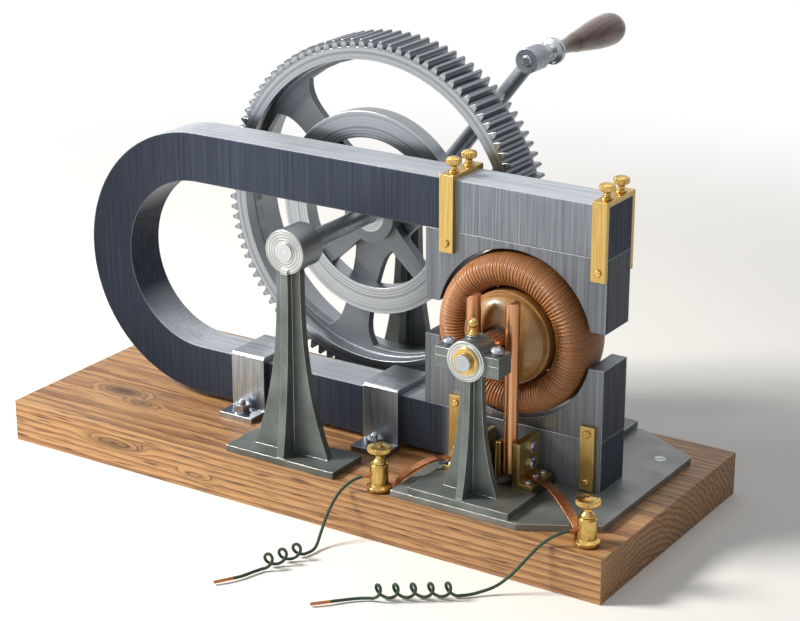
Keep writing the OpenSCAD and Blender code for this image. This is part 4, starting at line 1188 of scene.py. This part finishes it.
# French polished rosewood: near black streaks in red brown along the handle, under a deep gloss.
grip_wood = empty_material("french_polished_rosewood")
grip_place = add(grip_wood, "ShaderNodeTexCoord").outputs["Object"]
grip_grain = add(
    grip_wood,
    "ShaderNodeMapping",
    {"Vector": grip_place, "Location": -handle_axis, "Scale": (1.0, 0.07, 1.0)},
).outputs[0]
grip_bands = add(
    grip_wood,
    "ShaderNodeTexWave",
    {
        "Vector": grip_grain,
        "Scale": WAVE_PERIOD * per_mm(3.4),
        "Distortion": 3.5,
        "Detail": 3.0,
        "Detail Scale": 1.5,
    },
    wave_type="BANDS",
    bands_direction="X",
).outputs["Fac"]
# Pores are drawn 0.9 mm across, coarser than real ones, so that they show.
grip_pores = add(
    grip_wood, "ShaderNodeTexNoise", {"Vector": grip_grain, "Scale": per_mm(0.9), "Detail": 2.0}
).outputs[0]
grip_dark = add(
    grip_wood, "ShaderNodeMapRange", {"Value": grip_bands, "From Min": 0.25, "From Max": 0.85}
).outputs[0]
grip_flecks = add(
    grip_wood, "ShaderNodeMapRange", {"Value": grip_pores, "From Min": 0.55, "From Max": 0.72}
).outputs[0]
grip_base = add(
    grip_wood, "ShaderNodeMix", {0: grip_dark, 6: linear("#6e3a22"), 7: linear("#3a1b10")}, data_type="RGBA"
).outputs[2]
grip_colour = add(
    grip_wood, "ShaderNodeMix", {0: grip_flecks, 6: grip_base, 7: linear("#1f0e08")}, data_type="RGBA"
).outputs[2]
grip_normal = add(
    grip_wood, "ShaderNodeBump", {"Strength": 0.08, "Distance": 0.0002, "Height": grip_pores}
).outputs[0]
grip_shader = add(
    grip_wood,
    "ShaderNodeBsdfPrincipled",
    {
        "Base Color": grip_colour,
        "Roughness": 0.36,
        "Normal": grip_normal,
        "IOR": 1.5,
        "Coat Weight": 0.8,
        "Coat Roughness": 0.08,
    },
).outputs[0]
add(grip_wood, "ShaderNodeOutputMaterial", {"Surface": grip_shader})
set_finish(grip, grip_wood, "grip")
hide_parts("handle_grip")


# Ring core in its tape, and the winding
# A ring of soft iron wire bound with varnished tape, wound all round with covered copper wire in one length.
# The turns lie side by side outside, and in two layers inside where there is less room.

CORE_RADIAL_MM = 10.75
# The exponent that squares up the core's section, and the one that its slope follows.
SECTION_SQUARE = 0.78
SECTION_SLOPE = 1.56
TAPE_INNER_MM = 0.2
TAPE_EXTRA_MM = 1.85
TAPE_STEPS = 48
WIRE_MM = 1.75
WIRE_TURNS = 228
WIRE_STEPS = 24
INNER_LIFT_MM = 1.175
OUTER_LIFT_MM = 3.025
core_low, core_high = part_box("armature_core")
core_axial_mm = (core_high.y - core_low.y) * 500
core_middle_mm = (core_high.y + core_low.y) * 500
ring_middle_mm = (core_high.x - core_low.x) * 500 - CORE_RADIAL_MM


def power(value, exponent):
    """A power that keeps the sign of its value."""
    return math.copysign(abs(value) ** exponent, value)


def ring_section(angle, lift):
    """A point of the ring's rounded section, raised from the core: its radius and its Y, in mm."""
    outward = power(math.cos(angle), SECTION_SQUARE)
    along = power(math.sin(angle), SECTION_SQUARE)
    slope_r = power(outward, SECTION_SLOPE) / CORE_RADIAL_MM
    slope_y = power(along, SECTION_SLOPE) / core_axial_mm
    size = math.hypot(slope_r, slope_y)
    radius = ring_middle_mm + outward * CORE_RADIAL_MM + lift * slope_r / size
    return radius, core_middle_mm + along * core_axial_mm + lift * slope_y / size


def outer_share(angle):
    """0 on the inside of the ring, 1 on its outside, with a smooth change between."""
    t = 0.5 + 0.5 * math.cos(angle)
    return t * t * (3 - 2 * t)


tape_profile = []
for i in range(TAPE_STEPS + 1):
    angle = math.pi + 2 * math.pi * i / TAPE_STEPS
    tape_profile.append(ring_section(angle, TAPE_INNER_MM + TAPE_EXTRA_MM * outer_share(angle)))
core_tape = turned_piece("ring_core_tape", tape_profile, foot=armature_axis, axis=(0, 1, 0), steps=96)

# Varnished cotton tape: dark brown, woven fine, seen only as lines between the wires.
tape = empty_material("varnished_cotton_tape")
tape_place = add(tape, "ShaderNodeTexCoord").outputs["Object"]
tape_weave = add(
    tape, "ShaderNodeTexNoise", {"Vector": tape_place, "Scale": per_mm(0.9), "Detail": 2.0}
).outputs[0]
tape_colour = add(
    tape, "ShaderNodeMix", {0: tape_weave, 6: linear("#1a100a"), 7: linear("#2e1e12")}, data_type="RGBA"
).outputs[2]
tape_normal = add(
    tape, "ShaderNodeBump", {"Strength": 0.3, "Distance": 0.0002, "Height": tape_weave}
).outputs[0]
tape_shader = add(
    tape, "ShaderNodeBsdfPrincipled", {"Base Color": tape_colour, "Roughness": 0.6, "Normal": tape_normal}
).outputs[0]
add(tape, "ShaderNodeOutputMaterial", {"Surface": tape_shader})
set_finish(core_tape, tape, "armature")
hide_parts("armature_core")

winding = bpy.data.curves.new("ring_winding", "CURVE")
winding.dimensions = "3D"
winding.bevel_depth = WIRE_MM / 2000
winding.bevel_resolution = 1
winding_line = winding.splines.new("POLY")
winding_line.points.add(WIRE_TURNS * WIRE_STEPS)
for i, point in enumerate(winding_line.points):
    angle = math.pi + 2 * math.pi * i / WIRE_STEPS
    theta = 2 * math.pi * i / (WIRE_TURNS * WIRE_STEPS)
    under = 0.5 + 0.5 * math.cos(math.pi * i / WIRE_STEPS)
    inner = INNER_LIFT_MM * under + OUTER_LIFT_MM * (1 - under)
    lift = inner + (OUTER_LIFT_MM - inner) * outer_share(angle)
    radius, y = ring_section(angle, lift)
    away = Vector((radius * math.cos(theta), y, radius * math.sin(theta))) / 1000
    point.co = (*(armature_axis + away), 1.0)
ring_winding = bpy.data.objects.new("ring_winding", winding)
bpy.context.scene.collection.objects.link(ring_winding)
bpy.ops.object.select_all(action="DESELECT")
ring_winding.select_set(True)
bpy.context.view_layer.objects.active = ring_winding
bpy.ops.object.convert(target="MESH")
ring_winding = bpy.context.object
bpy.ops.object.shade_smooth()

# Shellacked cotton on copper wire: brown with a red glow, each turn a little different, with a soft gloss.
ring_wire = empty_material("shellacked_covered_wire")
ring_place = add(ring_wire, "ShaderNodeTexCoord").outputs["Object"]
ring_patch = add(
    ring_wire, "ShaderNodeTexNoise", {"Vector": ring_place, "Scale": per_mm(14), "Detail": 3.0}
).outputs[0]
# The fuzz of the cotton is drawn 0.7 mm across, coarser than real fuzz, so that it shows.
ring_fuzz = add(
    ring_wire, "ShaderNodeTexNoise", {"Vector": ring_place, "Scale": per_mm(0.7), "Detail": 2.0}
).outputs[0]
ring_mixed = add(
    ring_wire, "ShaderNodeMix", {0: ring_patch, 6: linear("#c98e5e"), 7: linear("#a8703f")}, data_type="RGBA"
).outputs[2]
ring_parts = add(ring_wire, "ShaderNodeSeparateXYZ", {0: ring_place}).outputs
ring_across = add(
    ring_wire, "ShaderNodeMath", {0: ring_parts["X"], 1: armature_axis.x}, operation="SUBTRACT"
).outputs[0]
ring_above = add(
    ring_wire, "ShaderNodeMath", {0: ring_parts["Z"], 1: armature_axis.z}, operation="SUBTRACT"
).outputs[0]
ring_angle = add(ring_wire, "ShaderNodeMath", {0: ring_above, 1: ring_across}, operation="ARCTAN2").outputs[0]
ring_count = add(
    ring_wire, "ShaderNodeMath", {0: ring_angle, 1: WIRE_TURNS / (2 * math.pi)}, operation="MULTIPLY"
).outputs[0]
ring_turn = add(
    ring_wire, "ShaderNodeTexNoise", {"W": ring_count, "Scale": 0.9, "Detail": 1.0}, noise_dimensions="1D"
).outputs[0]
ring_dark = add(
    ring_wire, "ShaderNodeMapRange", {"Value": ring_turn, "From Min": 0.4, "From Max": 0.7, "To Max": 0.55}
).outputs[0]
ring_varied = add(
    ring_wire, "ShaderNodeMix", {0: ring_dark, 6: ring_mixed, 7: linear("#7f4c2a")}, data_type="RGBA"
).outputs[2]
ring_fleck = add(
    ring_wire, "ShaderNodeMapRange", {"Value": ring_fuzz, "From Min": 0.5, "From Max": 0.75, "To Max": 0.5}
).outputs[0]
ring_colour = add(
    ring_wire, "ShaderNodeMix", {0: ring_fleck, 6: ring_varied, 7: linear("#6d4024")}, data_type="RGBA"
).outputs[2]
ring_normal = add(
    ring_wire, "ShaderNodeBump", {"Strength": 0.15, "Distance": 0.0002, "Height": ring_fuzz}
).outputs[0]
ring_shader = add(
    ring_wire,
    "ShaderNodeBsdfPrincipled",
    {
        "Base Color": ring_colour,
        "Roughness": 0.42,
        "Normal": ring_normal,
        "Coat Weight": 0.35,
        "Coat Roughness": 0.2,
    },
).outputs[0]
add(ring_wire, "ShaderNodeOutputMaterial", {"Surface": ring_shader})
set_finish(ring_winding, ring_wire, "armature")
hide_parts("armature_winding")


# Armature hub
# A boxwood boss turned to a dome, driven into the ring and fast on the shaft.
# It is polished on the lathe, so that fine rings run round it.

HUB_BORE_MM = 7.0
# The flat nose of the dome in front, and the flat of the rounded back.
HUB_NOSE_MM = 13.0
HUB_BACK_FLAT_MM = 16.0
# The step round the dome, the chamfer of its rim and the rim's height.
HUB_STEP_MM = 2.2
HUB_CHAMFER_MM = 0.4
HUB_RIM_MM = 2.4
DOME_STEPS = 32
BACK_STEPS = 16
hub_low, hub_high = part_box("armature_hub")
hub_radius_mm = (hub_high.x - hub_low.x) * 500
hub_nose_mm, hub_end_mm = hub_low.y * 1000, hub_high.y * 1000
hub_front_mm, hub_back_mm = core_low.y * 1000, core_high.y * 1000
hub_profile = [(HUB_BORE_MM, hub_end_mm), (HUB_BORE_MM, hub_nose_mm), (HUB_NOSE_MM, hub_nose_mm)]
for i in range(DOME_STEPS + 1):
    turn = math.pi / 2 * i / DOME_STEPS
    dome_radius = HUB_NOSE_MM + (hub_radius_mm - HUB_NOSE_MM - HUB_STEP_MM) * math.sin(turn)
    hub_profile.append((dome_radius, hub_front_mm - (hub_front_mm - hub_nose_mm) * math.cos(turn)))
hub_profile.append((hub_radius_mm - HUB_CHAMFER_MM, hub_front_mm))
hub_profile.append((hub_radius_mm, hub_front_mm + HUB_CHAMFER_MM))
hub_profile.append((hub_radius_mm, hub_front_mm + HUB_RIM_MM))
for i in range(BACK_STEPS + 1):
    turn = math.pi / 2 * i / BACK_STEPS
    back_radius = HUB_BACK_FLAT_MM + (hub_radius_mm - HUB_BACK_FLAT_MM) * math.cos(turn)
    hub_profile.append((back_radius, hub_back_mm + (hub_end_mm - hub_back_mm) * math.sin(turn)))
hub_profile.append((HUB_BORE_MM, hub_end_mm))
hub = turned_piece("boxwood_hub", hub_profile, foot=armature_axis, axis=(0, 1, 0), steps=96)

# Polished boxwood: honey yellow, almost without grain, with turned rings 2 mm apart and a clear polish.
BOXWOOD_RING_MM = 2.0
boxwood = empty_material("polished_boxwood")
hub_place = add(boxwood, "ShaderNodeTexCoord").outputs["Object"]
hub_radius = axis_distance(boxwood, hub_place, armature_axis)
hub_turn = add(
    boxwood,
    "ShaderNodeMath",
    {0: hub_radius, 1: 2 * math.pi * per_mm(BOXWOOD_RING_MM)},
    operation="MULTIPLY",
).outputs[0]
hub_wave = add(boxwood, "ShaderNodeMath", {0: hub_turn}, operation="SINE").outputs[0]
hub_ring = add(
    boxwood, "ShaderNodeMapRange", {"Value": hub_wave, "From Min": 0.2, "From Max": 1.0}
).outputs[0]
hub_grain = add(
    boxwood,
    "ShaderNodeMapping",
    {"Vector": hub_place, "Location": -armature_axis, "Scale": (1.0, 0.1, 1.0)},
).outputs[0]
hub_cloud = add(
    boxwood, "ShaderNodeTexNoise", {"Vector": hub_grain, "Scale": per_mm(6), "Detail": 4.0}
).outputs[0]
hub_wood = add(
    boxwood, "ShaderNodeMix", {0: hub_cloud, 6: linear("#b98b4e"), 7: linear("#87602f")}, data_type="RGBA"
).outputs[2]
hub_line = add(boxwood, "ShaderNodeMath", {0: hub_ring, 1: 0.35}, operation="MULTIPLY").outputs[0]
hub_colour = add(
    boxwood, "ShaderNodeMix", {0: hub_line, 6: hub_wood, 7: linear("#4a2f15")}, data_type="RGBA"
).outputs[2]
hub_normal = add(
    boxwood, "ShaderNodeBump", {"Strength": 0.2, "Distance": 0.0003, "Height": hub_ring}, invert=True
).outputs[0]
hub_shader = add(
    boxwood,
    "ShaderNodeBsdfPrincipled",
    {
        "Base Color": hub_colour,
        "Roughness": 0.34,
        "Normal": hub_normal,
        "IOR": 1.5,
        "Coat Weight": 0.7,
        "Coat Roughness": 0.1,
    },
).outputs[0]
add(boxwood, "ShaderNodeOutputMaterial", {"Surface": hub_shader})
set_finish(hub, boxwood, "armature")
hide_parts("armature_hub")


# Commutator bars
# Bars of hard copper set round the ebonite sleeve, turned true and polished where the brushes rub.

bar_copper = turned_metal(
    "turned_commutator_copper",
    colour="#cfa588",
    shade="#b28767",
    bright="#e3c4ac",
    axis=armature_axis,
    mark_mm=0.9,
    roughness=0.36,
    ease_mm=0.3,
)
dress(bar_copper, "commutator_bars")


# Floor
# A plain white table top that takes the machine's shadow, and turns into the white of the room farther off.
# Only the camera and reflections see it turn white with distance, so it throws no more light on the machine.

FLOOR_SIZE_M = 14
FLOOR_BELOW_M = 0.0005
FLOOR_PLAIN_M = 0.62
FLOOR_WHITE_M = 1.35
FLOOR_LEAST_WHITE = 0.04
FLOOR_MIRRORED = 0.4
bpy.ops.object.select_all(action="DESELECT")
bpy.ops.mesh.primitive_plane_add(size=FLOOR_SIZE_M, location=(0, 0, -FLOOR_BELOW_M))
floor = bpy.context.object
floor.name = "floor"
floor_paper = empty_material("white_paper_floor")
floor_place = add(floor_paper, "ShaderNodeTexCoord").outputs["Object"]
floor_away = add(floor_paper, "ShaderNodeVectorMath", {0: floor_place}, operation="LENGTH").outputs["Value"]
floor_far = add(
    floor_paper,
    "ShaderNodeMapRange",
    {"Value": floor_away, "From Min": FLOOR_PLAIN_M, "From Max": FLOOR_WHITE_M, "To Min": FLOOR_LEAST_WHITE},
    interpolation_type="SMOOTHSTEP",
).outputs[0]
floor_rays = add(floor_paper, "ShaderNodeLightPath").outputs
floor_mirrored = add(
    floor_paper, "ShaderNodeMath", {0: floor_rays["Is Glossy Ray"], 1: FLOOR_MIRRORED}, operation="MULTIPLY"
).outputs[0]
floor_seen = add(
    floor_paper, "ShaderNodeMath", {0: floor_rays["Is Camera Ray"], 1: floor_mirrored}, operation="MAXIMUM"
).outputs[0]
floor_share = add(
    floor_paper, "ShaderNodeMath", {0: floor_far, 1: floor_seen}, operation="MULTIPLY"
).outputs[0]
floor_tone = add(floor_paper, "ShaderNodeBsdfDiffuse", {"Color": linear("#fafaf8")}).outputs[0]
floor_glow = add(floor_paper, "ShaderNodeEmission", {"Color": (1, 1, 1, 1), "Strength": 1.0}).outputs[0]
floor_mix = add(floor_paper, "ShaderNodeMixShader", {0: floor_share, 1: floor_tone, 2: floor_glow}).outputs[0]
add(floor_paper, "ShaderNodeOutputMaterial", {"Surface": floor_mix})
floor.data.materials.append(floor_paper)


# Light
# A soft window at the viewer's upper left, a weak light at the right and one overhead, in a pale room that is
# dimmer at its right side.

# The room's strength in the light that it gives, where what the camera and reflections see of it is 1.
ROOM_GIVES = 0.26
ROOM_DIM_SIDE = 0.28
for name, spot, aim, size, power_w, colour in (
    ("window", (-1.5, -1.15, 1.5), (0.0, -0.05, 0.15), 0.6, 80, "#fffaf2"),
    ("fill", (1.9, -1.4, 1.0), (0.1, 0.0, 0.15), 1.5, 1.5, "#f2f6ff"),
    ("overhead", (0.1, 0.5, 2.0), (0.0, 0.0, 0.1), 1.6, 5, "#ffffff"),
):
    lamp = bpy.data.lights.new(name, "AREA")
    lamp.size = size
    lamp.energy = power_w
    lamp.color = linear(colour)[:3]
    holder = bpy.data.objects.new(name, lamp)
    holder.location = spot
    holder.rotation_euler = (Vector(aim) - Vector(spot)).to_track_quat("-Z", "Y").to_euler()
    bpy.context.scene.collection.objects.link(holder)

room = bpy.data.worlds.new("pale_room")
room.use_nodes = True
room.node_tree.nodes.clear()
room_rays = add(room, "ShaderNodeLightPath").outputs
room_seen = add(
    room,
    "ShaderNodeMath",
    {0: room_rays["Is Camera Ray"], 1: room_rays["Is Glossy Ray"]},
    operation="MAXIMUM",
).outputs[0]
room_shown = add(
    room, "ShaderNodeMath", {0: room_seen, 1: room_rays["Is Transmission Ray"]}, operation="MAXIMUM"
).outputs[0]
room_level = add(
    room, "ShaderNodeMapRange", {"Value": room_shown, "To Min": ROOM_GIVES, "To Max": 1.0}
).outputs[0]
room_place = add(room, "ShaderNodeTexCoord").outputs["Generated"]
room_way = add(room, "ShaderNodeSeparateXYZ", {0: room_place}).outputs["X"]
room_side = add(
    room,
    "ShaderNodeMapRange",
    {"Value": room_way, "From Min": 0.1, "From Max": 0.9, "To Min": 1.0, "To Max": ROOM_DIM_SIDE},
    interpolation_type="SMOOTHSTEP",
).outputs[0]
room_even = add(
    room, "ShaderNodeMath", {0: room_side, 1: room_rays["Is Camera Ray"]}, operation="MAXIMUM"
).outputs[0]
room_strength = add(room, "ShaderNodeMath", {0: room_level, 1: room_even}, operation="MULTIPLY").outputs[0]
room_back = add(room, "ShaderNodeBackground", {"Color": (1, 1, 1, 1), "Strength": room_strength}).outputs[0]
add(room, "ShaderNodeOutputWorld", {"Surface": room_back})
bpy.context.scene.world = room
bpy.context.scene.view_settings.view_transform = "Standard"


# Camera
# It stands to the right of the front and looks down on the machine, as the picture's view does.

CAMERA_AZIMUTH = 32.79
CAMERA_ELEVATION = 19.83
CAMERA_PLACE = (0.9731, -1.4533, 0.7767)
SENSOR_MM = 36
LENS_MM = 96.6
view = bpy.data.cameras.new("view")
view.sensor_width = SENSOR_MM
view.lens = LENS_MM
viewer = bpy.data.objects.new("view", view)
viewer.location = CAMERA_PLACE
viewer.rotation_euler = (math.radians(90 - CAMERA_ELEVATION), 0, math.radians(CAMERA_AZIMUTH))
bpy.context.scene.collection.objects.link(viewer)
bpy.context.scene.camera = viewer
